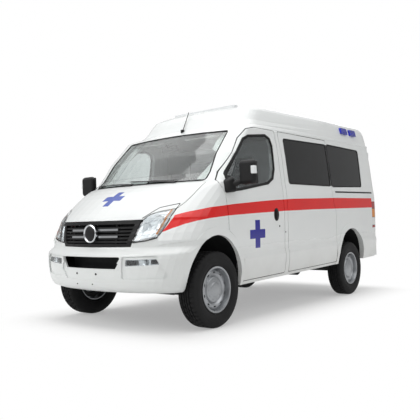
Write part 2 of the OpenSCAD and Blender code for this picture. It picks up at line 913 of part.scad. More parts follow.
module rim_front_left() {
    color("silver") wheel_place(front_track, front_axle_y) steel_rim();
}

module rim_front_right() {
    color("silver") wheel_place(-front_track, front_axle_y) rotate([0, 180, 0]) steel_rim();
}

module rim_rear_left() {
    color("silver") wheel_place(rear_track, rear_axle_y) steel_rim();
}

module rim_rear_right() {
    color("silver") wheel_place(-rear_track, rear_axle_y) rotate([0, 180, 0]) steel_rim();
}

// Steering knuckle: spindle into the rim's hub, upright with its bore round the pivot pin
upright = 54;
arm_gap = 6;
arm_thick = 16;
module knuckle_body() {
    difference() {
        translate([front_track, front_axle_y, tyre_r]) {
            rotate([0, 90, 0]) cylinder(h = 45, r = spindle_r, $fn = 48);
            translate([0, 0, -upright]) cylinder(h = 2 * upright, r = 28, $fn = 48);
            translate([-20, 0, -40]) cube([30, 150, 24]);
            translate([-60, 0, 0]) rotate([0, 90, 0]) cylinder(h = 50, r = 48, $fn = 48);
        }
        translate([front_track, front_axle_y, tyre_r - 100]) cylinder(h = 200, r = pivot_r + run_fit, $fn = 48);
    }
}

module knuckle_left() {
    color("dimgray") knuckle_body();
}

module knuckle_right() {
    color("dimgray") mirror([1, 0, 0]) knuckle_body();
}

// Ladder frame, front cross-member with arms and the pivot pins
rail_in = 390;
rail_w = 70;
rail_x = rail_in + wider / 2;
spring_x = rail_x + rail_w + 50;
cross_low = 450;
module chassis() {
    arm = upright + arm_gap;
    color("dimgray") {
        both() for (z = [-arm - arm_thick, arm]) translate([0, front_axle_y, tyre_r + z]) {
            translate([front_track, 0, 0]) cylinder(h = arm_thick, r = 28, $fn = 48);
            translate([rail_x, -30, 0]) cube([front_track - rail_x, 60, arm_thick]);
        }
        both() translate([front_track, front_axle_y, tyre_r - arm - 4]) cylinder(h = 2 * arm + 8, r = pivot_r, $fn = 48);
        translate([-rail_x - rail_w, front_axle_y - 60, tyre_r - arm - arm_thick]) cube([2 * (rail_x + rail_w), 120, 60]);
        both() translate([rail_x, front_axle_y - 60, tyre_r - arm - arm_thick])
            cube([rail_w, 120, 458 - tyre_r + arm + arm_thick]);
        body() both() translate([rail_x, -2300 + y0, 440]) cube([rail_w, 4500 + longer, 90]);
        body() for (y = [-800, 600, 2100 + longer]) translate([-rail_x - 10, y + y0, cross_low]) cube([2 * rail_x + 20, 70, 70]);
        body() translate([-rail_x - 10, radiator_y - 18 + y0, 440]) cube([2 * rail_x + 20, 80, 90]);
        body() fuel_tank();
        tow_eye();
    }
}

// Fuel tank hung beside the left rail, with its straps
module fuel_tank() {
    translate([rail_x + rail_w - 5, y0 + longer, 0]) {
        hull() for (x = [30, 285], z = [350, 480]) translate([x, -60, z]) rotate([-90, 0, 0]) cylinder(h = 720, r = 30, $fn = 32);
        for (y = [40, 500]) hull() for (x = [30, 285], z = [350, 480])
            translate([x, y, z]) rotate([-90, 0, 0]) cylinder(h = 36, r = 34, $fn = 32);
        translate([0, -60, 400]) cube([40, 720, 100]);
    }
}

// Rear towing eye on a drop arm under the right rail's end
eye_r = 22;
eye_back = 875;
eye_z = 446;
eye_thick = 24;
module tow_eye() {
    translate([-rail_x - rail_w / 2, rear_axle_y + eye_back, eye_z]) difference() {
        union() {
            translate([-28, -160, 0]) cube([56, 160, eye_thick]);
            cylinder(h = eye_thick, r = 46, $fn = 48);
            translate([-28, -184, 0]) cube([56, 26, 160]);
        }
        translate([0, 0, -1]) cylinder(h = eye_thick + 2, r = eye_r, $fn = 48);
    }
}

diff_r = 130;
module rear_axle() {
    drop = wheelbase * sin(rake);
    along_y = front_axle_y + wheelbase * cos(rake);
    color("dimgray") body() translate([0, along_y, tyre_r - drop]) {
        translate([-rear_track - 45, 0, 0]) rotate([0, 90, 0]) cylinder(h = 2 * rear_track + 90, r = spindle_r, $fn = 48);
        translate([-rear_track + 90, 0, 0]) rotate([0, 90, 0]) cylinder(h = 2 * rear_track - 180, r = 48, $fn = 48);
        translate([-110, 0, 0]) rotate([0, 90, 0]) cylinder(h = 220, r = diff_r, $fn = 48);
        both() translate([rear_track - 70, 0, 0]) rotate([0, 90, 0]) cylinder(h = 94, r = 118, $fn = 64);
        both() translate([spring_x, -640, 46]) cube([70, 1280, 30]);
        both() translate([spring_x - 10, -60, 20]) cube([90, 120, 70]);
        for (y = [-640, 570]) both() translate([rail_x + rail_w, y, 46]) cube([60, 70, 516 - tyre_r + drop - 46]);
    }
}

// Floor of the cab and load space, firewall and bulkhead
floor_z = 575;
cab_in = door_wall + gap;
module floor() {
    color("gray") body() difference() {
        union() {
            intersection() {
                inner(cab_in);
                union() {
                    box([-far, -1500 + y0, floor_z - 45], [far, -260 + y0, floor_z]);
                    box([-far, -1500 + y0, floor_z - 45], [far, -1470 + y0, 1340]);
                    box([-far, -272 + y0, floor_z - 45], [far, -250 + y0, 1925]);
                }
            }
            intersection() {
                inner(wall);
                box([-far, -262 + y0, floor_z - 45], [far, 2290 + y0, floor_z]);
            }
        }
        both() liner_volume(liner_gap + liner + seat);
        box([-500, -310 + y0, 1400], [500, -200 + y0, 1750]);
    }
}

// Wheel housings round the arches with their inner walls, and the mud flaps
liner = 6;
liner_gap = 14;
liner_in_front = front_track - 296;
liner_in_rear = rear_track - 132;
module liner_volume(g) {
    translate([0, y0, 0]) rotate([90, 0, 90]) {
        translate([0, 0, liner_in_front - g]) linear_extrude(half_body) {
            translate([arch_y, arch_z]) circle(arch_r + g, $fn = 80);
            translate([arch_y - arch_r - g, 300]) square([2 * (arch_r + g) + 18, arch_z - 300]);
        }
        translate([0, 0, liner_in_rear - g]) linear_extrude(half_body) {
            translate([rear_arch_y, rear_arch_z]) circle(rear_arch_r + g, $fn = 88);
            translate([rear_arch_y - rear_arch_r - g, 300]) square([2 * (rear_arch_r + g), rear_arch_z - 300]);
        }
    }
}

flap = 8;
flap_out = 92;
module liner_body() {
    flap_top = floor_z - 45 - seat;
    difference() {
        intersection() {
            inner(wall + seat);
            liner_volume(liner_gap + liner);
        }
        liner_volume(liner_gap);
        translate([liner_in_front - 260, front_axle_y - 70, tyre_r - 100]) cube([400, 140, 250]);
        translate([liner_in_rear - 430, rear_axle_y - 215, 300]) cube([700, 500, 260]);
        translate([0, -3000, 0]) cube([far * wide, 6000 + longer, sill_z]);
    }
    translate([front_track - 100, arch_y + arch_r + 22 + y0, 240]) cube([half_body - flap_out - front_track + 100, flap, flap_top - 240]);
    translate([rear_track - 100, rear_arch_y + rear_arch_r + 24 + y0, 190])
        cube([half_body - flap_out - rear_track + 100, flap, flap_top - 190]);
}

module wheel_liners() {
    color("black") body() both() liner_body();
}

// Engine as one block with its gearbox and mount, the radiator behind the grille, and the propshaft
shaft_z = tyre_r + 68;
shaft_r = 36;
engine_rear = -1530;
radiator_y = -2222;
module engine() {
    diff_z = tyre_r - wheelbase * sin(rake);
    diff_y = rear_axle_y - y0 - diff_r;
    start = [0, -1040, cross_low - shaft_r - 4];
    run = [0, diff_y - 4 + 1040, diff_z + 20 - start[2]];
    color("dimgray") body() {
        box([-260, -2050 + y0, 540], [260, engine_rear + y0, 1030]);
        box([-rail_in - 50, -1800 + y0, 530 + seat], [rail_in + 50, -1740 + y0, 570]);
        box([-150, -1700 + y0, shaft_z - 40], [150, -1512 + y0, 560]);
        box([-85, -1560 + y0, shaft_z - 60], [85, -1040 + y0, 520]);
        box([-rail_in - 50, radiator_y + y0, 530 + seat], [rail_in + 50, radiator_y + 42 + y0, 1010]);
        translate([0, start[1] + y0 - 20, start[2]]) rotate([-90 + atan2(-run[2], run[1]) * -1, 0, 0])
            cylinder(h = norm(run) + 12, r = shaft_r, $fn = 40);
    }
}

// Exhaust from the engine's right side under the floor to the tail
pipe_r = 28;
pipe_x = -260 * wide - pipe_r - seat;
pipe_z = (tyre_r - wheelbase * sin(rake) + 48 + cross_low) / 2;
module exhaust() {
    color("gray") body() translate([pipe_x, y0, pipe_z]) {
        translate([0, -1560, -6]) cylinder(h = 300, r = 23, $fn = 32);
        translate([0, -1590, 0]) rotate([-90, 0, 0]) cylinder(h = 3930 + longer, r = pipe_r, $fn = 32);
        translate([0, -1100, -14]) rotate([-90, 0, 0]) cylinder(h = 250, r = 62, $fn = 40);
        translate([0, 30, -14]) rotate([-90, 0, 0]) cylinder(h = 520, r = 76, $fn = 40);
        for (y = [-790, 610, 2110 + longer]) translate([-12, y, 0]) cube([24, 40, cross_low - pipe_z - seat]);
    }
}

driver_x = half_body - 569;
module seats() {
    color("dimgray") body() translate([0, y0 - 40, 0]) {
        for (x = [driver_x, -180, -600 - wider]) {
            translate([x - 200, -990, floor_z]) cube([400, 440, 235]);
            translate([x - 230, -1050, floor_z + 235]) cube([(x == -600 - wider) ? 420 : 460, 520, 130]);
            translate([x - 225, -545, floor_z + 285]) rotate([-12, 0, 0]) {
                cube([(x == -600 - wider) ? 415 : 450, 110, 620]);
                translate([(x == -600 - wider) ? 100 : 115, 20, 640]) cube([220, 75, 150]);
                for (k = [160, 270]) translate([k, 55, 600]) cylinder(h = 60, r = 8, $fn = 16);
            }
        }
    }
}

dash_room = 16;
module dash_block() {
    intersection() {
        inner(cab_in + dash_room);
        union() {
            box([-1000, -1469 + y0, 1000], [1000, -1300 + y0, 1340]);
            box([-1000, -1300 + y0, 1160], [1000, -1160 + y0, 1340]);
            box([-1000, -1760 + y0, 1341], [1000, -1160 + y0, 1362]);
            box([230, -1320 + y0, 1330], [610, -1180 + y0, 1410]);
            box([-130, -1300 + y0, 820], [130, -1170 + y0, 1200]);
        }
    }
}

module dashboard() {
    color("dimgray") body() difference() {
        dash_block();
        bonnet_block(gap + 40);
    }
}

module steering_wheel() {
    color("black") body() difference() {
        translate([driver_x, -1070 + y0, 1300]) rotate([-40, 0, 0]) {
            rotate_extrude($fn = 64) translate([198, 0]) circle(15, $fn = 24);
            translate([0, 0, -20]) cylinder(h = 40, r = 60, $fn = 48);
            for (a = [0, 120, 240]) rotate([0, 0, a + 90]) translate([0, -16, -10]) cube([200, 32, 20]);
            translate([0, 0, -190]) cylinder(h = 190, r = 28, $fn = 32);
        }
        dash_block();
    }
}

// Wipers lying on the screen: arms and blades
wiper_posts = [504, -56];
module wiper_shape() {
    polygon([[500, 1430], [515, 1418], [500, 1410], [170, 1444], [172, 1452]]);
    polygon([[345, 1427], [350, 1437], [-140, 1462], [-142, 1450]]);
    polygon([[-60, 1430], [-45, 1418], [-60, 1410], [-460, 1440], [-458, 1448]]);
    polygon([[-195, 1426], [-190, 1436], [-784, 1452], [-786, 1440]]);
}

module wipers() {
    color("black") body() {
        intersection() {
            difference() {
                loft([1380, 1400, 1412, 1460, 1520], -11, 5);
                loft([1370, 1400, 1412, 1460, 1530], -3.5, 5);
            }
            along(-2000, -1400) wiper_shape();
        }
        intersection() {
            difference() {
                loft([1380, 1392, 1412, 1460, 1520], -12, 5);
                loft(fine_levels, -seat, 5);
            }
            along(-2000, -1400) for (x = wiper_posts) translate([x, 1413]) circle(6, $fn = 24);
        }
    }
}

module light_bar() {
    color("lightblue") body() difference() {
        translate([0, y0, 0]) hull() both() {
            translate([430, -520, roof_z - 40]) cylinder(h = 48, r = 45, $fn = 32);
        }
        loft([2200, 2250, 2290, 2315, 2330, 2340], 0, 5);
    }
}

// Side beacons on the roof's flanks
module beacons() {
    color("blue") body() difference() {
        intersection() {
            loft([2120, 2190, 2250, 2290], -24, 5);
            across(-far, far) {
                rounded(back_points([[1456, 2160], [1624, 2160], [1624, 2222], [1456, 2222]]), 14);
                rounded(back_points([[1756, 2160], [1924, 2160], [1924, 2222], [1756, 2222]]), 14);
            }
        }
        outer();
    }
}

module antenna() {
    color("black") body() difference() {
        translate([0, -960 + y0, 2020]) {
            cylinder(h = 50, r = 22, $fn = 32);
            translate([0, 0, 30]) rotate([-28, 0, 0]) cylinder(h = 270, r = 4, $fn = 13);
        }
        outer();
    }
}
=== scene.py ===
import bmesh
import bpy
import math
from mathutils import Matrix, Vector
from mathutils.bvhtree import BVHTree


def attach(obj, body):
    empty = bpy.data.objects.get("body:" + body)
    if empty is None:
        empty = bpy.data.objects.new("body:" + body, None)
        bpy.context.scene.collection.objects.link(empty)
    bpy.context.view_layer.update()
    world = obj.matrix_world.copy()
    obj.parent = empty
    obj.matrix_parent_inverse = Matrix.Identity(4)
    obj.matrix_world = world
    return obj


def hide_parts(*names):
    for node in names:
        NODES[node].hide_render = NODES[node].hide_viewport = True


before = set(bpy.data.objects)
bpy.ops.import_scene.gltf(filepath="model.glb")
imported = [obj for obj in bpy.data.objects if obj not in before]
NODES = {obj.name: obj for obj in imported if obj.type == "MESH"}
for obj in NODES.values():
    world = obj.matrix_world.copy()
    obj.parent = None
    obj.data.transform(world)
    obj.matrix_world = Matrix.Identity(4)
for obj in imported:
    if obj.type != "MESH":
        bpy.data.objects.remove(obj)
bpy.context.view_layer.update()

# The body stands nose down by this angle, turned about the front axle
RAKE = math.radians(1.9)
AXLE = Vector((0, -1.685, 0.364))
BODY_SHIFT = -0.02   # the level body's own zero along the van
# wheel name, place of the hub, and the side its outer face looks to
WHEELS = (("front_left", (0.867, -1.685, 0.364), 1), ("front_right", (-0.867, -1.685, 0.364), -1),
    ("rear_left", (0.862, 1.415, 0.364), 1), ("rear_right", (-0.862, 1.415, 0.364), -1))
FRONT_DOORS = ("front_door_left_body", "front_door_right_body")
REAR_DOORS = ("rear_door_left_body", "rear_door_right_body")
FAR = 3.2   # rays onto the skin start outside the van, this far from its middle
BODY = (Matrix.Translation(AXLE) @ Matrix.Rotation(RAKE, 4, "X") @ Matrix.Translation(-AXLE) @ Matrix.Translation((0,
    BODY_SHIFT, 0)))
LEVEL = BODY.inverted()


# ---------- small tools ----------

def srgb(code, alpha=1.0):
    """Hex colour to the linear values that Blender works in."""
    out = []
    for i in (1, 3, 5):
        c = int(code[i:i + 2], 16) / 255
        out.append(c / 12.92 if c <= 0.04045 else ((c + 0.055) / 1.055) ** 2.4)
    return (*out, alpha)


def mm(x, y, z):
    """A place on the level body, given in millimetres."""
    return Vector((x, y, z)) / 1000


def nothing_selected():
    """Leave edit mode and deselect everything, so that an operator acts only on what is picked next."""
    if bpy.context.object and bpy.context.object.mode != "OBJECT":
        bpy.ops.object.mode_set(mode="OBJECT")
    bpy.ops.object.select_all(action="DESELECT")


def pick(obj):
    nothing_selected()
    obj.select_set(True)
    bpy.context.view_layer.objects.active = obj


def settle(obj, place=None):
    """Put the object's place into its mesh, and leave the object at the origin."""
    pick(obj)
    if place is not None:
        obj.matrix_world = place @ obj.matrix_world
    bpy.ops.object.transform_apply(location=True, rotation=True, scale=True)
    return obj


def apply_all(obj):
    pick(obj)
    for m in list(obj.modifiers):
        bpy.ops.object.modifier_apply(modifier=m.name)


def new_mesh(name, points, faces):
    """A surface laid over measured points of the body."""
    mesh = bpy.data.meshes.new(name)
    mesh.from_pydata([tuple(p) for p in points], [], faces)
    obj = bpy.data.objects.new(name, mesh)
    bpy.context.scene.collection.objects.link(obj)
    return obj


def outward(obj, join=0.00001):
    pick(obj)
    bpy.ops.object.mode_set(mode="EDIT")
    bpy.ops.mesh.select_all(action="SELECT")
    bpy.ops.mesh.remove_doubles(threshold=join)
    bpy.ops.mesh.normals_make_consistent(inside=False)
    bpy.ops.object.mode_set(mode="OBJECT")


def soft_shade(obj, angle=35):
    pick(obj)
    bpy.ops.object.shade_smooth_by_angle(angle=math.radians(angle))


def bevelled(obj, width, segments=2, angle=30):
    b = obj.modifiers.new("edge", "BEVEL")
    b.width = width
    b.segments = segments
    b.limit_method = "ANGLE"
    b.angle_limit = math.radians(angle)
    apply_all(obj)


def joined(name, parts):
    nothing_selected()
    for p in parts:
        p.select_set(True)
    bpy.context.view_layer.objects.active = parts[0]
    if len(parts) > 1:
        bpy.ops.object.join()
    parts[0].name = name
    parts[0].data.name = name
    return parts[0]


def mirrored_copy(obj, name):
    twin = obj.copy()
    twin.data = obj.data.copy()
    twin.name = name
    twin.data.name = name
    bpy.context.scene.collection.objects.link(twin)
    twin.matrix_world = Matrix.Scale(-1, 4, (1, 0, 0)) @ twin.matrix_world
    settle(twin)
    outward(twin)
    return twin


def done(obj, material, body="body"):
    """Give a finished piece its material and the body it moves with."""
    obj.data.materials.clear()
    obj.data.materials.append(material)
    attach(obj, body)
    return obj


def block(name, low, high, bevel=0.0, segments=2):
    """A box from one corner to the other, in metres, with rounded edges."""
    nothing_selected()
    low, high = Vector(low), Vector(high)
    bpy.ops.mesh.primitive_cube_add(size=1, location=(low + high) / 2)
    obj = bpy.context.object
    obj.name = name
    obj.scale = high - low
    settle(obj)
    if bevel:
        bevelled(obj, bevel, segments)
    return obj


def shaped_block(name, corners, bevel, segments=3):
    """A cube whose corners go to eight measured places: the lower ring then the upper, each counter-clockwise."""
    nothing_selected()
    bpy.ops.mesh.primitive_cube_add(size=2)
    obj = bpy.context.object
    obj.name = name
    order = ((-1, -1), (1, -1), (1, 1), (-1, 1))
    for v in obj.data.vertices:
        k = order.index((round(v.co.x), round(v.co.y)))
        v.co = Vector(corners[k + (4 if v.co.z > 0 else 0)])
    if bevel:
        bevelled(obj, bevel, segments, 15)
    soft_shade(obj, 40)
    return obj


def on_body(obj, shade=0):
    """Tilt a piece that was given in measures of the level body, and shade it smooth up to an angle."""
    settle(obj, BODY)
    if shade:
        soft_shade(obj, shade)
    return obj


def turned(name, profile, centre, axis, steps=64):
    """A profile of (radius, height) pairs spun about an axis through centre."""
    nothing_selected()
    n = len(profile)
    bpy.ops.mesh.primitive_circle_add(vertices=max(n, 3), radius=1, fill_type="NOTHING")
    obj = bpy.context.object
    obj.name = name
    bpy.ops.object.mode_set(mode="EDIT")
    bpy.ops.mesh.select_all(action="SELECT")
    bpy.ops.object.mode_set(mode="OBJECT")
    for v, (r, h) in zip(obj.data.vertices, profile):
        v.co = (r, 0, h)
    closed = profile[0] == profile[-1]
    if not closed:
        bm = bmesh.new()
        bm.from_mesh(obj.data)
        bm.verts.ensure_lookup_table()
        edge = bm.edges.get((bm.verts[0], bm.verts[n - 1]))
        if edge:
            bm.edges.remove(edge)
        bm.to_mesh(obj.data)
        bm.free()
    pick(obj)
    bpy.ops.object.mode_set(mode="EDIT")
    bpy.ops.mesh.select_all(action="SELECT")
    bpy.ops.mesh.spin(steps=steps, angle=math.tau, center=(0, 0, 0), axis=(0, 0, 1))
    bpy.ops.mesh.select_all(action="SELECT")
    bpy.ops.mesh.remove_doubles(threshold=0.00002)
    bpy.ops.mesh.normals_make_consistent(inside=False)
    bpy.ops.object.mode_set(mode="OBJECT")
    turn = Vector((0, 0, 1)).rotation_difference(Vector(axis)).to_matrix().to_4x4()
    settle(obj, Matrix.Translation(centre) @ turn)
    return obj


# ---------- the body's skin, for pieces that lie on it ----------

def skin_tree(*names):
    points, faces = [], []
    for name in names:
        base = len(points)
        mesh = NODES[name].data
        points += [LEVEL @ v.co for v in mesh.vertices]
        faces += [[base + i for i in p.vertices] for p in mesh.polygons]
    return BVHTree.FromPolygons(points, faces)


SHELL = skin_tree("front_door_left", "door_glass_left", "side_walls", "side_glass", "sliding_doors", "roof",
    "cab_frame", "windscreen", "bonnet", "front_wings", "rear_door_left", "rear_glass_left", "rear_door_right",
    "rear_glass_right", "front_bumper", "rear_bumper", "grille", "front_lamps", "tail_lamps")


def first_hit(place, way):
    return SHELL.ray_cast(Vector(place), Vector(way))[0]


def on_skin(place, way, lift):
    """Where a line from outside meets the skin. Over a shut line, the two sides of the gap give the place."""
    place, way = Vector(place), Vector(way)
    along = max(range(3), key=lambda i: abs(way[i]))
    best = first_hit(place, way)
    depths = []
    for i in range(3):
        if i == along:
            continue
        for reach in (0.009, 0.017):
            step = Vector([reach if j == i else 0 for j in range(3)])
            ends = [h for h in (first_hit(place + step, way), first_hit(place - step, way)) if h]
            depths += [(h - place).dot(way) for h in ends]
            if len(ends) == 2 and (ends[0] - ends[1]).length < 0.06:
                middle = (ends[0] + ends[1]) / 2
                if best is None or (middle - best).dot(way) < -0.01:
                    best = middle
                break
    if depths and (best is None or (best - place).dot(way) > min(depths) + 0.08):
        best = place + way * min(depths)
    return best - way * lift if best else None


def on_side(y, z, lift=0.0):
    """Point of the left side's skin at this length and height, lifted off it."""
    return on_skin((1.5, y, z), (-1, 0, 0), lift)


def on_front(x, z, lift=0.0):
    return on_skin((x, -FAR, z), (0, 1, 0), lift)


def on_rear(x, z, lift=0.0):
    return on_skin((x, FAR, z), (0, -1, 0), lift)


def on_top(x, y, lift=0.0):
    return on_skin((x, y, FAR), (0, 0, -1), lift)


def on_bonnet(x, y, lift=0.0):
    """Skin point seen along the bonnet's opening path, in which its outline is drawn."""
    hit = on_skin((x, y - 0.55 * (2.2 - 1.053), 2.2), (0, 0.55, -1), 0)
    return hit + Vector((0, -0.5, 0.8)) * lift if hit else None


def outline(points, r, steps=5):
    """The points' polygon pushed out by r, with the outer corners rounded; the count doesn't depend on r."""
    n = len(points)
    area = sum(points[i][0] * points[(i + 1) % n][1] - points[(i + 1) % n][0] * points[i][1] for i in range(n))
    pts = [Vector(p) for p in (points if area > 0 else points[::-1])]
    out = []
    for i in range(n):
        a, b, c = pts[i - 1], pts[i], pts[(i + 1) % n]
        d1, d2 = (b - a).normalized(), (c - b).normalized()
        n1, n2 = Vector((d1.y, -d1.x)), Vector((d2.y, -d2.x))
        cross = d1.x * d2.y - d1.y * d2.x
        if cross > 0 and r > 0:
            a1 = math.atan2(n1.y, n1.x)
            turn = math.atan2(cross, d1.dot(d2))
            for k in range(steps + 1):
                t = a1 + turn * k / steps
                out.append(b + r * Vector((math.cos(t), math.sin(t))))
        else:
            m = (n1 + n2) / max(1e-6, 1 + n1.dot(n2))
            out += [b + r * m] * (steps + 1)
    return out


def refined(ring, longest):
    """The ring with points added so that no step is longer than that."""
    out = []
    n = len(ring[0])
    for i in range(n):
        j = (i + 1) % n
        gap = max((r[j] - r[i]).length for r in ring)
        k = max(1, math.ceil(gap / longest))
        for s in range(k):
            out.append([r[i].lerp(r[j], s / k) for r in ring])
    return out


def band(name, points, rows, lay, longest=0.03):
    """A rubber or trim band on the skin. rows are (push, lift) pairs across it."""
    rings = [outline(points, push) for push, lift in rows]
    cells = refined(rings, longest)
    verts, faces = [], []
    m = len(rows)
    for cell in cells:
        verts += [lay(p[0], p[1], lift) for (push, lift), p in zip(rows, cell)]
    n = len(cells)
    for i, v in enumerate(verts):
        if v is None:
            near = [verts[(i + s * k * m) % len(verts)] for s in (-1, 1) for k in range(1, 5)]
            verts[i] = next(w for w in near if w is not None)
    faces = [(i * m + j, (i + 1) % n * m + j, (i + 1) % n * m + (j + 1) % m,
        i * m + (j + 1) % m) for i in range(n) for j in range(m)]
    return laid(name, verts, faces)


def laid(name, verts, faces):
    """A closed form whose points were found on the skin of the level body."""
    obj = new_mesh(name, verts, faces)
    on_body(obj)
    outward(obj)
    soft_shade(obj, 50)
    return obj


def strip(name, path, rows, lay, longest=0.03):
    """An open strip along a path on the skin. rows are (sideways, lift) pairs across it."""
    pts = [Vector(p) for p in path]
    fine = []
    for a, b in zip(pts, pts[1:]):
        k = max(1, math.ceil((b - a).length / longest))
        fine += [a.lerp(b, i / k) for i in range(k)]
    fine.append(pts[-1])
    verts, faces = [], []
    m = len(rows)
    for i, p in enumerate(fine):
        way = (fine[min(i + 1, len(fine) - 1)] - fine[max(i - 1, 0)]).normalized()
        side = Vector((-way.y, way.x))
        verts += [lay(*(p + side * push), lift) for push, lift in rows]
    for i, v in enumerate(verts):
        if v is None:
            near = [verts[(i + s * k * m) % len(verts)] for k in range(1, 6) for s in (-1, 1)]
            verts[i] = next(w for w in near if w is not None)
    n = len(fine)
    faces = [(i * m + j, (i + 1) * m + j, (i + 1) * m + (j + 1) % m,
        i * m + (j + 1) % m) for i in range(n - 1) for j in range(m)]
    faces += [tuple(range(m)), tuple((n - 1) * m + j for j in range(m))]
    return laid(name, verts, faces)


def pair(obj, material, bodies=("body", "body")):
    """Finish a left piece and its twin on the right."""
    done(obj, material, bodies[0])
    done(mirrored_copy(obj, obj.name.removesuffix("_left") + "_right"), material, bodies[1])


# ---------- materials ----------

def new_material(name):
    mat = bpy.data.materials.new(name)
    mat.use_nodes = True
    return mat, mat.node_tree.nodes["Principled BSDF"]


def node(mat, kind, values=None, **settings):
    """Add a node, with its settings, its values and the sockets that feed it; a list fills its inputs in order."""
    n = mat.node_tree.nodes.new("ShaderNode" + kind)
    for key, value in settings.items():
        setattr(n, key, value)
    for key, value in (dict(enumerate(values)) if isinstance(values, list) else values or {}).items():
        if isinstance(value, bpy.types.Node):
            value = value.outputs[0]
        if isinstance(value, bpy.types.NodeSocket):
            mat.node_tree.links.new(value, n.inputs[key])
        else:
            n.inputs[key].default_value = value
    return n


def feed(mat, socket, shader, key):
    """Link an output to a named input."""
    mat.node_tree.links.new(socket, shader.inputs[key])


def dull_variation(mat, shader, base, low, high, scale, bump=0.0, bump_scale=None, distance=0.001):
    """Slight unevenness of colour and gloss that every made surface has, and an optional fine relief."""
    where = node(mat, "TexCoord")
    cloud = node(mat, "TexNoise", {"Vector": where.outputs["Object"], "Scale": scale, "Detail": 4.0})
    tone = node(mat, "Mix", {"Factor": cloud.outputs["Fac"], 6: srgb(base[0]), 7: srgb(base[1])}, data_type="RGBA")
    feed(mat, tone.outputs[2], shader, "Base Color")
    rough = node(mat, "MapRange", {"Value": cloud.outputs["Fac"], "To Min": low, "To Max": high})
    feed(mat, rough.outputs["Result"], shader, "Roughness")
    if bump:
        grain = node(mat, "TexNoise", {"Vector": where.outputs["Object"], "Scale": bump_scale, "Detail": 2.0})
        relief = node(mat, "Bump", {"Height": grain.outputs["Fac"], "Strength": bump, "Distance": distance})
        feed(mat, relief.outputs["Normal"], shader, "Normal")
    return tone


def level_place(mat):
    """Coordinates on the level body, so that stripes follow the body and not the road."""
    where = node(mat, "TexCoord")
    turn = node(mat, "Mapping", {"Vector": where.outputs["Object"], "Location": LEVEL.translation,
        "Rotation": (-RAKE, 0, 0)})
    return node(mat, "SeparateXYZ", {"Vector": turn.outputs["Vector"]})


def curve_of(mat, value, points, low, high):
    """A measured line: value along the body in, height out. Both are scaled to 0..1 inside."""
    span = node(mat, "MapRange", {"Value": value, "From Min": -2.4, "From Max": 2.4})
    curve = node(mat, "FloatCurve", {"Value": span.outputs["Result"]})
    line = curve.mapping.curves[0]
    pts = [((y + 2.4) / 4.8, (z - low) / (high - low)) for y, z in points]
    line.points[0].location = pts[0]
    line.points[1].location = pts[-1]
    for p in pts[1:-1]:
        line.points.new(*p)
    for p in line.points:
        p.handle_type = "VECTOR"
    curve.mapping.update()
    back = node(mat, "MapRange", {"Value": curve.outputs["Value"], "To Min": low, "To Max": high})
    return back.outputs["Result"]


STRIPE_LOW = [(-2.4, 0.86), (-2.19, 0.933), (-2.123, 0.966), (-2.032, 1.000), (-1.922, 1.025), (-1.776, 1.043),
    (-1.481, 1.06), (-1.074, 1.072), (-0.384, 1.087), (0.34, 1.094), (2.4, 1.096)]
STRIPE_HIGH = [(-2.4, 0.95), (-2.19, 1.03), (-2.076, 1.079), (-2.024, 1.096), (-1.959, 1.112), (-1.755, 1.145),
    (-1.365, 1.173), (-0.731, 1.206), (-0.173, 1.225), (0.966, 1.237), (2.4, 1.234)]


